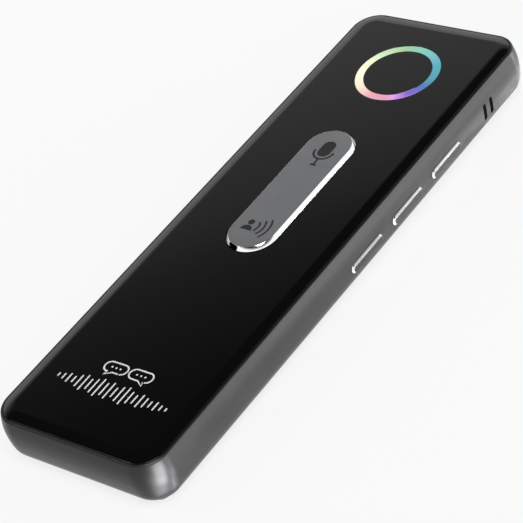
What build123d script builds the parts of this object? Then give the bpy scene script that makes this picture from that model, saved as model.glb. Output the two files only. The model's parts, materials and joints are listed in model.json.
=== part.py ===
from build123d import *
import math
import os

# Handheld translator: a metal tub closed by a glass front, with a long talk key, a light
# ring, three side keys, a wrist-cord eyelet, a charging port and a loudspeaker.
#
# Frame: the origin is the centre of the flat back. +Z points out of the glass front,
# +Y towards the end with the light ring, +X towards the side with the three keys.
# All sizes are in millimetres.

os.makedirs("parts", exist_ok=True)


def save(piece, name):
    """Label a finished piece and write its STEP file."""
    piece.part.label = name
    export_step(piece.part, f"parts/{name}.step")
    size = piece.part.bounding_box().size
    print(f"{name:24s} {len(piece.part.solids())} solid(s)  {size.X:.2f} x {size.Y:.2f} x {size.Z:.2f} mm")


# ----------------------------------------------------------------------------------------
# Driving dimensions
# ----------------------------------------------------------------------------------------

# Housing
body_width = 44.0  # over the waist
body_length = 142.5
corner_radius = 6.6  # plan corners, at the waist
rim_height = 12.15  # top of the metal rim above the back
wall_thickness = 2.3
floor_thickness = 1.2
back_edge_radius = 5.0
floor_corner_radius = 3.0  # inside, wall to floor
floor_reach = 6.0  # width of the swept border, wall included
side_taper = 7.0  # degrees, below the waist
waist_low = 6.6  # the wall is upright between these two heights
waist_high = 9.2
waist_radius = 13.0
rim_lean = 0.7  # how far the wall leans in between waist and rim
rim_land = 0.5  # width of the rim, from the wall to the glass
rim_edge_radius = 0.45

# Glass front
glass_thickness = 1.1
glass_crown = 0.35  # the middle of the glass stands this much above the rim
glass_border = 2.6  # width of the curved border
glass_gap = 0.1  # between the glass and the rim
adhesive_thickness = 0.2
adhesive_width = 2.1
adhesive_setback = 0.2

# Inner frame
frame_thickness = 1.0
frame_clearance = 0.1
frame_window_width = 26.0
frame_window_length = 13.0
frame_window_count = 2
frame_window_pitch = 19.0
frame_window_radius = 2.5

# Light ring
ring_from_end = 19.85  # ring centre to the far end of the body
ring_inner_radius = 8.03
ring_outer_radius = 9.86
ring_gap = 0.05  # between the ring and the glass on either side of it
ring_adhesive_thickness = 0.3
ring_base_thickness = 0.8
ring_flange_thickness = 0.4
ring_base_margin = 0.84  # the base reaches this far outside the lit ring
ring_flange_width = 1.0
ring_seat_clearance = 0.1
ring_adhesive_setback = 0.15
collar_thickness = 0.8
collar_depth = 1.3
led_count = 8
led_size = 1.6
led_height = 0.6

# Talk key
talk_key_y = 8.6  # key centre, from the middle of the body
talk_key_length = 40.9
talk_key_width = 12.2
talk_key_rise = 0.85  # face above the glass
talk_key_chamfer = 0.63  # width of the polished edge
talk_key_gap = 0.12  # all round, in the glass
talk_key_travel = 0.45
key_flange_width = 1.0
key_flange_thickness = 0.6
key_flange_headroom = 0.25  # below the glass
tray_clearance = 0.3
tray_wall = 0.8
tray_floor = 0.8
pad_thickness = 1.1
pad_width = 1.5
pad_clearance = 0.3
talk_stem_radius = 1.6
talk_switch_size = 4.6
talk_switch_height = 1.1
talk_button_radius = 1.0
tray_hole_clearance = 0.4

# Switches in general
button_clearance = 0.05  # radial, in the switch body
switch_reserve = 0.1  # a switch stands proud by the travel and this much more
switch_floor = 0.05  # left under a button that is pressed fully in
switch_bore_depth = 0.8

# Main board
board_thickness = 1.0
board_headroom = 0.75  # below the talk key's tray
board_side_gap = 1.4
board_end_gap = 1.05
board_notch_gap = 0.5

# Side keys, from the far end: louder, quieter, power
side_key_names = ["volume_up", "volume_down", "power"]
side_key_middle_y = 18.45
side_key_pitch = 15.95
side_key_length = 11.8
side_key_height = 2.2
side_key_proud = 0.45  # face beyond the waist
side_key_chamfer = 0.38
side_key_gap = 0.12  # all round, in the wall
side_key_travel = 0.35
side_flange_thickness = 0.7
side_flange_margin = 0.7
side_flange_gap = 0.1
side_stem_radius = 0.8
side_stem_length = 1.0
side_switch_length = 4.6
side_switch_depth = 2.8
side_switch_height = 2.1
side_button_radius = 0.65

# Wrist-cord eyelet
eyelet_from_end = 18.6  # middle of the two slots to the far end of the body
eyelet_pitch = 2.7
eyelet_slot_width = 1.15
eyelet_slot_height = 4.3
eyelet_z = 6.12
eyelet_bar_depth = 1.7  # thickness of the bar between the slots
eyelet_chamber_depth = 2.3
eyelet_block_wall = 1.4
eyelet_block_margin = 3.4
eyelet_block_headroom = 0.2

# Posts and screws
post_radius = 1.9
post_inset = 2.7  # post centre to the inside of the walls
post_gap = 0.45
insert_radius = 1.2
insert_length = 3.0
insert_clearance = 0.02
screw_radius = 0.75
screw_clearance = 0.1
thread_clearance = 0.05
screw_length = 4.2
countersink_radius = 1.5
countersink_depth = 0.75
screw_recess = 0.4
screw_slot_width = 0.35
pan_head_radius = 1.45
pan_head_height = 0.8
board_post_inset = 2.7  # board screw to the board's side edge
board_post_far = 7.0  # board screws to the board's far edge
board_post_near = 3.2

# Charging port
port_shell_width = 8.94
port_shell_height = 3.26
port_shell_depth = 7.35
port_shell_wall = 0.3
port_recess = 0.6  # mouth behind the waist outline
port_tongue_width = 6.7
port_tongue_thickness = 0.7
port_tongue_length = 5.0
port_tongue_corner = 0.7
port_clearance = 0.18

# Battery
battery_side_gap = 2.7  # to the inside of the walls
battery_side_radius = 1.0
battery_tape_thickness = 0.15
battery_tape_width = 24.0
battery_foam_thickness = 0.85
battery_foam_width = 4.0
battery_foam_side = 1.0
lead_bay = 3.95  # between the battery and the key's tray
lead_radius = 0.4
lead_pitch = 1.1
lead_count = 3
lead_bend_radius = 1.05
lead_turn_gap = 1.5  # between the board's edge and the drop of the lead
lead_height = 0.85  # above the board
lead_drop = 2.4
socket_setback = 1.0  # from the board's near edge
socket_side_gap = 0.75  # to the head of the board screw beside it
socket_width = 4.4
socket_length = 2.6
socket_height = 1.7
socket_wall = 0.4
plug_length = 1.8

# Loudspeaker and the back's sound holes
speaker_from_end = 23.25
speaker_width = 26.0
speaker_length = 18.0
speaker_edge_radius = 1.2
speaker_cone_depth = 0.6
speaker_cone_margin = 2.6
sound_hole_radius = 0.6
sound_hole_pitch = 2.4
sound_hole_columns = 9
sound_hole_rows = 3
mesh_thickness = 0.12
mesh_margin = 1.0
gasket_thickness = 0.5
gasket_width = 1.5
contact_gap_height = 0.95
contact_width = 1.4
contact_length = 3.0
contact_pitch = 6.0

# Microphones
microphone_side_gap = 1.9  # between a boot and the post beside it
microphone_width = 3.5
microphone_length = 2.6
microphone_height = 1.0
microphone_setback = 2.9  # from the inside of the far wall to the microphone's middle
sound_duct_radius = 0.5
boot_width = 4.4
boot_gap = 0.05
boot_height = 1.5

# Chips and shields
shield_sheet = 0.2
processor_shield_width = 22.0
processor_shield_length = 26.0
processor_shield_height = 2.2
processor_shield_y = 6.0
processor_shield_x = -4.0
processor_size = 12.0
memory_size = 9.0
chip_thickness = 1.0
radio_shield_length = 22.0
radio_shield_height = 1.5
radio_shield_margin = 1.0
audio_chip_size = 5.0
audio_chip_y = 8.0

# Antenna
antenna_length = 22.0
antenna_width = 3.0
antenna_thickness = 0.12
antenna_setback = 1.2
antenna_spring_width = 1.2
antenna_spring_sheet = 0.15
antenna_spring_reach = 1.2  # of each foot, from the antenna's middle
antenna_spring_x = 6.0

# ----------------------------------------------------------------------------------------
# Worked out from the driving dimensions
# ----------------------------------------------------------------------------------------

half_width = body_width / 2
half_length = body_length / 2
panel_inset = rim_lean + rim_land
inner_half_width = half_width - wall_thickness
inner_half_length = half_length - wall_thickness
back_inset = waist_low * math.tan(math.radians(side_taper))

# Heights, from the glass down to the back
glass_top = rim_height + glass_crown
glass_bottom = glass_top - glass_thickness
shelf_z = glass_bottom - adhesive_thickness
frame_bottom = shelf_z - frame_thickness
key_flange_top = glass_bottom - key_flange_headroom
key_flange_bottom = key_flange_top - key_flange_thickness
tray_floor_top = key_flange_bottom - pad_thickness
tray_bottom = tray_floor_top - tray_floor
board_top = tray_bottom - board_headroom
board_bottom = board_top - board_thickness

# Light ring
ring_y = half_length - ring_from_end
ring_base_radius = ring_outer_radius + ring_base_margin
ring_flange_radius = ring_base_radius + ring_flange_width
ring_base_top = glass_bottom - ring_adhesive_thickness
ring_base_bottom = ring_base_top - ring_base_thickness
ring_flange_bottom = ring_base_top - ring_flange_thickness
ring_mid_radius = (ring_inner_radius + ring_outer_radius) / 2

# Talk key
key_flange_outer_width = talk_key_width + 2 * key_flange_width
key_flange_outer_length = talk_key_length + 2 * key_flange_width
tray_width = key_flange_outer_width + 2 * tray_clearance
tray_length = key_flange_outer_length + 2 * tray_clearance
tray_outer_width = tray_width + 2 * tray_wall
tray_outer_length = tray_length + 2 * tray_wall
tray_near_y = talk_key_y - tray_outer_length / 2
talk_switch_top = board_top + talk_switch_height
talk_button_top = talk_switch_top + talk_key_travel + switch_reserve
talk_bore_floor = talk_switch_top - switch_bore_depth
talk_button_bottom = talk_bore_floor + talk_key_travel + switch_floor
tray_hole_radius = talk_switch_size / math.sqrt(2) + tray_hole_clearance

# Battery bay, posts and board, in the order in which they follow one another along Y
frame_post_x = inner_half_width - post_inset
frame_post_end_y = inner_half_length - post_inset
battery_near_y = -frame_post_end_y + post_radius + post_gap
battery_far_y = tray_near_y - lead_bay
battery_length = battery_far_y - battery_near_y
battery_bottom = floor_thickness + battery_tape_thickness
battery_top = frame_bottom - battery_foam_thickness
battery_y = (battery_near_y + battery_far_y) / 2
frame_post_middle_y = battery_far_y + post_gap + post_radius
board_near_y = frame_post_middle_y + post_radius + board_notch_gap
board_far_y = inner_half_length - board_end_gap
board_half_width = inner_half_width - board_side_gap
battery_width = 2 * (inner_half_width - battery_side_gap)
board_post_x = board_half_width - board_post_inset
lead_x = board_post_x - pan_head_radius - socket_side_gap - socket_width / 2
frame_posts = [
    (side * frame_post_x, y)
    for y in (-frame_post_end_y, frame_post_middle_y, frame_post_end_y)
    for side in (-1, 1)
]
board_posts = [
    (side * board_post_x, y)
    for y in (board_near_y + board_post_near, board_far_y - board_post_far)
    for side in (-1, 1)
]

# Side keys: the key, its flange, its stem and the switch behind it, from the outside in
side_key_z = board_bottom - side_switch_height / 2
side_key_ys = [side_key_middle_y + step * side_key_pitch for step in (1, 0, -1)]
side_key_face = half_width + side_key_proud
side_flange_outer = inner_half_width - side_flange_gap
side_flange_inner = side_flange_outer - side_flange_thickness
side_stem_end = side_flange_inner - side_stem_length
side_switch_face = side_stem_end - side_key_travel - switch_reserve
side_bore_floor = side_switch_face - switch_bore_depth
side_plunger_end = side_bore_floor + side_key_travel + switch_floor

# Wrist-cord eyelet
eyelet_y = half_length - eyelet_from_end
eyelet_slot_ys = [eyelet_y - eyelet_pitch / 2, eyelet_y + eyelet_pitch / 2]
eyelet_chamber_outer = half_width - eyelet_bar_depth
eyelet_chamber_inner = eyelet_chamber_outer - eyelet_chamber_depth
eyelet_chamber_length = eyelet_pitch + eyelet_slot_width
eyelet_block_inner = eyelet_chamber_inner - eyelet_block_wall
eyelet_block_length = eyelet_chamber_length + 2 * eyelet_block_margin
eyelet_block_top = frame_bottom - eyelet_block_headroom
eyelet_block_bottom = eyelet_z - eyelet_slot_height / 2 - eyelet_block_wall

# Charging port, hung under the board
port_z = board_bottom - port_shell_height / 2
port_mouth_y = half_length - port_recess

# Loudspeaker, from the floor up to the contacts under the board
speaker_y = half_length - speaker_from_end
speaker_bottom = floor_thickness + gasket_thickness
speaker_top = board_bottom - contact_gap_height
mesh_width = (sound_hole_columns - 1) * sound_hole_pitch + 2 * sound_hole_radius + 2 * mesh_margin
mesh_length = (sound_hole_rows - 1) * sound_hole_pitch + 2 * sound_hole_radius + 2 * mesh_margin

# Microphones, hung under the board
microphone_x = frame_post_x - post_radius - microphone_side_gap - boot_width / 2
microphone_y = inner_half_length - microphone_setback
microphone_bottom = board_bottom - microphone_height
duct_z = microphone_bottom - boot_height / 2

# The planes that the border profiles stand on: across the wall, halfway along the +X side
border_plane = Plane(origin=(half_width, 0, 0), x_dir=(1, 0, 0), z_dir=(0, -1, 0))
waist_corners = [
    (half_width, 0),
    (half_width, half_length),
    (-half_width, half_length),
    (-half_width, -half_length),
    (half_width, -half_length),
]
waist_radii = [0] + 4 * [corner_radius]

# ----------------------------------------------------------------------------------------
# Rear shell: one tub. Its wall and the border of its floor are one profile, swept round
# ----------------------------------------------------------------------------------------

with BuildPart() as rear_shell:
    with BuildLine():
        FilletPolyline(*waist_corners, radius=waist_radii, close=True)
    with BuildSketch(border_plane):
        with BuildLine():
            FilletPolyline(
                (-floor_reach, 0),
                (-back_inset, 0),
                (0, waist_low),
                (0, waist_high),
                (-rim_lean, rim_height),
                (-panel_inset, rim_height),
                radius=[back_edge_radius, waist_radius, waist_radius, rim_edge_radius],
            )
            Polyline(
                (-panel_inset, rim_height),
                (-panel_inset, shelf_z),
                (-wall_thickness, shelf_z),
            )
            FilletPolyline(
                (-wall_thickness, shelf_z),
                (-wall_thickness, floor_thickness),
                (-floor_reach, floor_thickness),
                radius=floor_corner_radius,
            )
            Line((-floor_reach, floor_thickness), (-floor_reach, 0))
        make_face()
    sweep()
    with BuildSketch():
        RectangleRounded(
            body_width - 2 * floor_reach,
            body_length - 2 * floor_reach,
            corner_radius - floor_reach,
        )
    extrude(amount=floor_thickness)

    # Posts for the frame and for the board
    with BuildSketch(Plane.XY.offset(floor_thickness)):
        with Locations(*frame_posts):
            Circle(post_radius)
    extrude(amount=frame_bottom - floor_thickness)
    with BuildSketch(Plane.XY.offset(floor_thickness)):
        with Locations(*board_posts):
            Circle(post_radius)
    extrude(amount=board_bottom - floor_thickness)
    with BuildSketch(Plane.XY.offset(frame_bottom)):
        with Locations(*frame_posts):
            Circle(insert_radius + insert_clearance)
    extrude(amount=-screw_length, mode=Mode.SUBTRACT)
    with BuildSketch(Plane.XY.offset(board_bottom)):
        with Locations(*board_posts):
            Circle(screw_radius + thread_clearance)
    extrude(amount=-screw_length, mode=Mode.SUBTRACT)

    # Block behind the eyelet, with the chamber that joins the two slots
    with BuildSketch(Plane.XY.offset(eyelet_block_bottom)):
        with Locations(((eyelet_block_inner + eyelet_chamber_outer) / 2, eyelet_y)):
            Rectangle(eyelet_chamber_outer - eyelet_block_inner, eyelet_block_length)
    extrude(amount=eyelet_block_top - eyelet_block_bottom)
    with BuildSketch(Plane.YZ.offset(eyelet_chamber_inner)):
        with Locations((eyelet_y, eyelet_z)):
            Rectangle(eyelet_chamber_length, eyelet_slot_height)
    extrude(amount=eyelet_chamber_depth, mode=Mode.SUBTRACT)
    with BuildSketch(Plane.YZ.offset(eyelet_chamber_inner)):
        with Locations(*[(y, eyelet_z) for y in eyelet_slot_ys]):
            SlotOverall(eyelet_slot_height, eyelet_slot_width, rotation=90)
    extrude(amount=2 * wall_thickness + eyelet_chamber_depth, mode=Mode.SUBTRACT)

    # Windows of the side keys
    with BuildSketch(Plane.YZ.offset(inner_half_width - wall_thickness / 2)):
        with Locations(*[(y, side_key_z) for y in side_key_ys]):
            SlotOverall(side_key_length + 2 * side_key_gap, side_key_height + 2 * side_key_gap)
    extrude(amount=2 * wall_thickness, mode=Mode.SUBTRACT)

    # Charging port and microphone holes in the far wall
    with BuildSketch(Plane.XZ.offset(-inner_half_length + wall_thickness / 2)):
        with Locations((0, port_z)):
            SlotOverall(port_shell_width + 2 * port_clearance, port_shell_height + 2 * port_clearance)
        with Locations((-microphone_x, duct_z), (microphone_x, duct_z)):
            Circle(sound_duct_radius)
    extrude(amount=-2 * wall_thickness, mode=Mode.SUBTRACT)

    # Sound holes in the back
    with BuildSketch():
        with Locations((0, speaker_y)):
            with GridLocations(
                sound_hole_pitch, sound_hole_pitch, sound_hole_columns, sound_hole_rows
            ):
                Circle(sound_hole_radius)
    extrude(amount=floor_thickness, mode=Mode.SUBTRACT)
save(rear_shell, "rear_shell")

# ----------------------------------------------------------------------------------------
# Glass front: a flat plate with a curved border, and openings for the key and the ring
# ----------------------------------------------------------------------------------------

glass_edge = panel_inset + glass_gap
glass_flat = glass_edge + glass_border

with BuildPart() as front_panel:
    with BuildLine():
        FilletPolyline(*waist_corners, radius=waist_radii, close=True)
    with BuildSketch(border_plane):
        with BuildLine():
            TangentArc((-glass_flat, glass_top), (-glass_edge, rim_height), tangent=(1, 0))
            Polyline(
                (-glass_edge, rim_height),
                (-glass_edge, glass_bottom),
                (-glass_flat, glass_bottom),
                (-glass_flat, glass_top),
            )
        make_face()
    sweep()
    with BuildSketch(Plane.XY.offset(glass_bottom)):
        RectangleRounded(
            body_width - 2 * glass_flat,
            body_length - 2 * glass_flat,
            corner_radius - glass_flat,
        )
    extrude(amount=glass_thickness)
    with BuildSketch(Plane.XY.offset(glass_bottom)):
        with Locations((0, talk_key_y)):
            SlotOverall(
                talk_key_length + 2 * talk_key_gap, talk_key_width + 2 * talk_key_gap, rotation=90
            )
        with Locations((0, ring_y)):
            Circle(ring_outer_radius + ring_gap)
    extrude(amount=glass_thickness, mode=Mode.SUBTRACT)
save(front_panel, "front_panel")

adhesive_outer = glass_edge + adhesive_setback
adhesive_inner = adhesive_outer + adhesive_width

with BuildPart() as panel_adhesive:
    with BuildSketch(Plane.XY.offset(shelf_z)):
        RectangleRounded(
            body_width - 2 * adhesive_outer,
            body_length - 2 * adhesive_outer,
            corner_radius - adhesive_outer,
        )
        RectangleRounded(
            body_width - 2 * adhesive_inner,
            body_length - 2 * adhesive_inner,
            corner_radius - adhesive_inner,
            mode=Mode.SUBTRACT,
        )
    extrude(amount=adhesive_thickness)
    with BuildSketch(Plane.XY.offset(shelf_z)):
        with Locations((0, talk_key_y)):
            SlotOverall(tray_length + adhesive_width, tray_width + adhesive_width, rotation=90)
            SlotOverall(
                tray_length + 2 * adhesive_setback,
                tray_width + 2 * adhesive_setback,
                rotation=90,
                mode=Mode.SUBTRACT,
            )
    extrude(amount=adhesive_thickness)
save(panel_adhesive, "panel_adhesive")

# ----------------------------------------------------------------------------------------
# Inner frame: closes the tub, holds the talk key's tray and seats the light ring
# ----------------------------------------------------------------------------------------

frame_inset = wall_thickness + frame_clearance
ring_seat_radius = ring_base_radius + ring_seat_clearance
ring_rebate_radius = ring_flange_radius + ring_seat_clearance
countersink_run = countersink_radius - screw_radius
countersink_angle = 2 * math.degrees(math.atan2(countersink_run, countersink_depth))

with BuildPart() as mid_frame:
    with BuildSketch(Plane.XY.offset(frame_bottom)):
        RectangleRounded(
            body_width - 2 * frame_inset,
            body_length - 2 * frame_inset,
            corner_radius - frame_inset,
        )
    extrude(amount=frame_thickness)
    with BuildSketch(Plane.XY.offset(tray_bottom)):
        with Locations((0, talk_key_y)):
            SlotOverall(tray_outer_length, tray_outer_width, rotation=90)
    extrude(amount=shelf_z - tray_bottom)
    with BuildSketch(Plane.XY.offset(frame_bottom)):
        with Locations((0, ring_y)):
            Circle(ring_seat_radius + collar_thickness)
    extrude(amount=-collar_depth)

    # Tray and the hole in its floor for the switch
    with BuildSketch(Plane.XY.offset(tray_floor_top)):
        with Locations((0, talk_key_y)):
            SlotOverall(tray_length, tray_width, rotation=90)
    extrude(amount=shelf_z - tray_floor_top, mode=Mode.SUBTRACT)
    with BuildSketch(Plane.XY.offset(tray_bottom)):
        with Locations((0, talk_key_y)):
            Circle(tray_hole_radius)
    extrude(amount=tray_floor, mode=Mode.SUBTRACT)

    # Seat and rebate of the light ring
    with BuildSketch(Plane.XY.offset(shelf_z)):
        with Locations((0, ring_y)):
            Circle(ring_seat_radius)
    extrude(amount=-(frame_thickness + collar_depth), mode=Mode.SUBTRACT)
    with BuildSketch(Plane.XY.offset(ring_flange_bottom)):
        with Locations((0, ring_y)):
            Circle(ring_rebate_radius)
    extrude(amount=shelf_z - ring_flange_bottom, mode=Mode.SUBTRACT)

    # Windows over the battery, and the screw holes
    with BuildSketch(Plane.XY.offset(frame_bottom)):
        with Locations((0, battery_y)):
            with GridLocations(0, frame_window_pitch, 1, frame_window_count):
                RectangleRounded(frame_window_width, frame_window_length, frame_window_radius)
    extrude(amount=frame_thickness, mode=Mode.SUBTRACT)
    with Locations(Plane.XY.offset(shelf_z)):
        with Locations(*frame_posts):
            CounterSinkHole(
                radius=screw_radius + screw_clearance,
                counter_sink_radius=countersink_radius + screw_clearance,
                depth=frame_thickness,
                counter_sink_angle=countersink_angle,
            )
save(mid_frame, "mid_frame")

with BuildPart() as threaded_inserts:
    with BuildSketch(Plane.XY.offset(frame_bottom - insert_length)):
        with Locations(*frame_posts):
            Circle(insert_radius)
            Circle(screw_radius + thread_clearance, mode=Mode.SUBTRACT)
    extrude(amount=insert_length)
save(threaded_inserts, "threaded_inserts")

with BuildPart() as frame_screws:
    with Locations(*frame_posts):
        with Locations((0, 0, shelf_z - countersink_depth)):
            Cone(
                screw_radius,
                countersink_radius,
                countersink_depth,
                align=(Align.CENTER, Align.CENTER, Align.MIN),
            )
            Cylinder(
                screw_radius,
                screw_length - countersink_depth,
                align=(Align.CENTER, Align.CENTER, Align.MAX),
            )
    with BuildSketch(Plane.XY.offset(shelf_z)):
        with Locations(*frame_posts):
            Rectangle(countersink_radius, screw_slot_width)
            Rectangle(screw_slot_width, countersink_radius)
    extrude(amount=-screw_recess, mode=Mode.SUBTRACT)
save(frame_screws, "frame_screws")

# ----------------------------------------------------------------------------------------
# Light ring: a translucent dish whose raised ring comes up flush with the glass
# ----------------------------------------------------------------------------------------

with BuildPart() as ring_light_guide:
    with BuildSketch(Plane.XY.offset(ring_base_bottom)):
        with Locations((0, ring_y)):
            Circle(ring_base_radius)
    extrude(amount=ring_base_thickness)
    with BuildSketch(Plane.XY.offset(ring_flange_bottom)):
        with Locations((0, ring_y)):
            Circle(ring_flange_radius)
    extrude(amount=ring_flange_thickness)
    with BuildSketch(Plane.XY.offset(ring_base_top)):
        with Locations((0, ring_y)):
            Circle(ring_outer_radius)
            Circle(ring_inner_radius, mode=Mode.SUBTRACT)
    extrude(amount=glass_top - ring_base_top)
save(ring_light_guide, "ring_light_guide")

with BuildPart() as ring_centre_disc:
    with BuildSketch(Plane.XY.offset(glass_bottom)):
        with Locations((0, ring_y)):
            Circle(ring_inner_radius - ring_gap)
    extrude(amount=glass_thickness)
save(ring_centre_disc, "ring_centre_disc")

with BuildPart() as disc_adhesive:
    with BuildSketch(Plane.XY.offset(ring_base_top)):
        with Locations((0, ring_y)):
            Circle(ring_inner_radius - ring_gap - ring_adhesive_setback)
    extrude(amount=ring_adhesive_thickness)
save(disc_adhesive, "disc_adhesive")

with BuildPart() as ring_adhesive:
    with BuildSketch(Plane.XY.offset(ring_base_top)):
        with Locations((0, ring_y)):
            Circle(ring_flange_radius - ring_adhesive_setback)
            Circle(ring_outer_radius + ring_gap + ring_adhesive_setback, mode=Mode.SUBTRACT)
    extrude(amount=ring_adhesive_thickness)
save(ring_adhesive, "ring_adhesive")

with BuildPart() as ring_leds:
    with BuildSketch(Plane.XY.offset(board_top)):
        with Locations((0, ring_y)):
            with PolarLocations(ring_mid_radius, led_count):
                Rectangle(led_size, led_size)
    extrude(amount=led_height)
save(ring_leds, "ring_leds")

# ----------------------------------------------------------------------------------------
# Talk key, the pad that lifts it, and the switch under its stem
# ----------------------------------------------------------------------------------------

key_edge_angle = math.degrees(math.atan2(talk_key_chamfer, talk_key_rise))

with BuildPart() as talk_key:
    with BuildSketch(Plane.XY.offset(key_flange_bottom)):
        with Locations((0, talk_key_y)):
            SlotOverall(key_flange_outer_length, key_flange_outer_width, rotation=90)
    extrude(amount=key_flange_thickness)
    with BuildSketch(Plane.XY.offset(key_flange_top)):
        with Locations((0, talk_key_y)):
            SlotOverall(talk_key_length, talk_key_width, rotation=90)
    extrude(amount=glass_top - key_flange_top)
    with BuildSketch(Plane.XY.offset(glass_top)):
        with Locations((0, talk_key_y)):
            SlotOverall(talk_key_length, talk_key_width, rotation=90)
    extrude(amount=talk_key_rise, taper=key_edge_angle)
    with BuildSketch(Plane.XY.offset(talk_button_top)):
        with Locations((0, talk_key_y)):
            Circle(talk_stem_radius)
    extrude(amount=key_flange_bottom - talk_button_top)
save(talk_key, "talk_key")

with BuildPart() as talk_key_pad:
    with BuildSketch(Plane.XY.offset(tray_floor_top)):
        with Locations((0, talk_key_y)):
            SlotOverall(
                key_flange_outer_length - 2 * pad_clearance,
                key_flange_outer_width - 2 * pad_clearance,
                rotation=90,
            )
            SlotOverall(
                key_flange_outer_length - 2 * pad_clearance - 2 * pad_width,
                key_flange_outer_width - 2 * pad_clearance - 2 * pad_width,
                rotation=90,
                mode=Mode.SUBTRACT,
            )
    extrude(amount=pad_thickness)
save(talk_key_pad, "talk_key_pad")

with BuildPart() as talk_switch:
    with BuildSketch(Plane.XY.offset(board_top)):
        with Locations((0, talk_key_y)):
            Rectangle(talk_switch_size, talk_switch_size)
    extrude(amount=talk_switch_height)
    with BuildSketch(Plane.XY.offset(talk_bore_floor)):
        with Locations((0, talk_key_y)):
            Circle(talk_button_radius + button_clearance)
    extrude(amount=switch_bore_depth, mode=Mode.SUBTRACT)
save(talk_switch, "talk_switch")

with BuildPart() as talk_switch_button:
    with BuildSketch(Plane.XY.offset(talk_button_bottom)):
        with Locations((0, talk_key_y)):
            Circle(talk_button_radius)
    extrude(amount=talk_button_top - talk_button_bottom)
save(talk_switch_button, "talk_switch_button")

# ----------------------------------------------------------------------------------------
# Side keys: each is a pill in its window, a flange that keeps it in, and a stem
# ----------------------------------------------------------------------------------------

for name, key_y in zip(side_key_names, side_key_ys):
    with BuildPart() as side_key:
        with BuildSketch(Plane.YZ.offset(side_flange_outer)):
            with Locations((key_y, side_key_z)):
                SlotOverall(side_key_length, side_key_height)
        extrude(amount=side_key_face - side_flange_outer)
        outer_face = side_key.faces().sort_by(Axis.X)[-1]
        chamfer(outer_face.edges(), side_key_chamfer)
        with BuildSketch(Plane.YZ.offset(side_flange_inner)):
            with Locations((key_y, side_key_z)):
                SlotOverall(
                    side_key_length + 2 * side_flange_margin,
                    side_key_height + 2 * side_flange_margin,
                )
        extrude(amount=side_flange_thickness)
        with BuildSketch(Plane.YZ.offset(side_stem_end)):
            with Locations((key_y, side_key_z)):
                Circle(side_stem_radius)
        extrude(amount=side_stem_length)
    save(side_key, f"{name}_key")

    with BuildPart() as side_switch:
        with BuildSketch(Plane.YZ.offset(side_switch_face)):
            with Locations((key_y, side_key_z)):
                Rectangle(side_switch_length, side_switch_height)
        extrude(amount=-side_switch_depth)
        with BuildSketch(Plane.YZ.offset(side_switch_face)):
            with Locations((key_y, side_key_z)):
                Circle(side_button_radius + button_clearance)
        extrude(amount=-switch_bore_depth, mode=Mode.SUBTRACT)
    save(side_switch, f"{name}_switch")

    with BuildPart() as side_plunger:
        with BuildSketch(Plane.YZ.offset(side_plunger_end)):
            with Locations((key_y, side_key_z)):
                Circle(side_button_radius)
        extrude(amount=side_stem_end - side_plunger_end)
    save(side_plunger, f"{name}_plunger")

# ----------------------------------------------------------------------------------------
# Main board, notched around the far posts and the eyelet block
# ----------------------------------------------------------------------------------------

board_length = board_far_y - board_near_y
board_y = (board_far_y + board_near_y) / 2
post_notch_x = frame_post_x - post_radius - board_notch_gap
post_notch_y = frame_post_end_y - post_radius - board_notch_gap
post_notch_width = board_half_width - post_notch_x
post_notch_length = board_far_y - post_notch_y
eyelet_notch_x = eyelet_block_inner - board_notch_gap
eyelet_notch_length = eyelet_block_length + 2 * board_notch_gap

with BuildPart() as main_board:
    with BuildSketch(Plane.XY.offset(board_bottom)):
        with Locations((0, board_y)):
            Rectangle(2 * board_half_width, board_length)
        with Locations((post_notch_x, post_notch_y)):
            Rectangle(post_notch_width, post_notch_length, align=Align.MIN, mode=Mode.SUBTRACT)
        with Locations((-post_notch_x, post_notch_y)):
            Rectangle(
                post_notch_width,
                post_notch_length,
                align=(Align.MAX, Align.MIN),
                mode=Mode.SUBTRACT,
            )
        with Locations((eyelet_notch_x, eyelet_y)):
            Rectangle(
                board_half_width - eyelet_notch_x,
                eyelet_notch_length,
                align=(Align.MIN, Align.CENTER),
                mode=Mode.SUBTRACT,
            )
        with Locations(*board_posts):
            Circle(screw_radius + screw_clearance, mode=Mode.SUBTRACT)
    extrude(amount=board_thickness)
save(main_board, "main_board")

with BuildPart() as board_screws:
    with Locations(*board_posts):
        with Locations((0, 0, board_top)):
            Cylinder(
                pan_head_radius, pan_head_height, align=(Align.CENTER, Align.CENTER, Align.MIN)
            )
            Cylinder(
                screw_radius, screw_length, align=(Align.CENTER, Align.CENTER, Align.MAX)
            )
    with BuildSketch(Plane.XY.offset(board_top + pan_head_height)):
        with Locations(*board_posts):
            Rectangle(pan_head_radius, screw_slot_width)
            Rectangle(screw_slot_width, pan_head_radius)
    extrude(amount=-screw_recess, mode=Mode.SUBTRACT)
save(board_screws, "board_screws")

# Chips and the shields over them

with BuildPart() as processor_shield:
    with BuildSketch(Plane.XY.offset(board_bottom)):
        with Locations((processor_shield_x, processor_shield_y)):
            Rectangle(processor_shield_width, processor_shield_length)
    extrude(amount=-processor_shield_height)
    with BuildSketch(Plane.XY.offset(board_bottom)):
        with Locations((processor_shield_x, processor_shield_y)):
            Rectangle(
                processor_shield_width - 2 * shield_sheet,
                processor_shield_length - 2 * shield_sheet,
            )
    extrude(amount=-(processor_shield_height - shield_sheet), mode=Mode.SUBTRACT)
save(processor_shield, "processor_shield")

# The two chips share the shield's length, with the same gap before, between and after them
chip_row_gap = (processor_shield_length - processor_size - memory_size) / 3
processor_y = processor_shield_y - processor_shield_length / 2 + chip_row_gap + processor_size / 2
memory_y = processor_shield_y + processor_shield_length / 2 - chip_row_gap - memory_size / 2

with BuildPart() as processor:
    with BuildSketch(Plane.XY.offset(board_bottom)):
        with Locations((processor_shield_x, processor_y)):
            Rectangle(processor_size, processor_size)
    extrude(amount=-chip_thickness)
save(processor, "processor")

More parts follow.
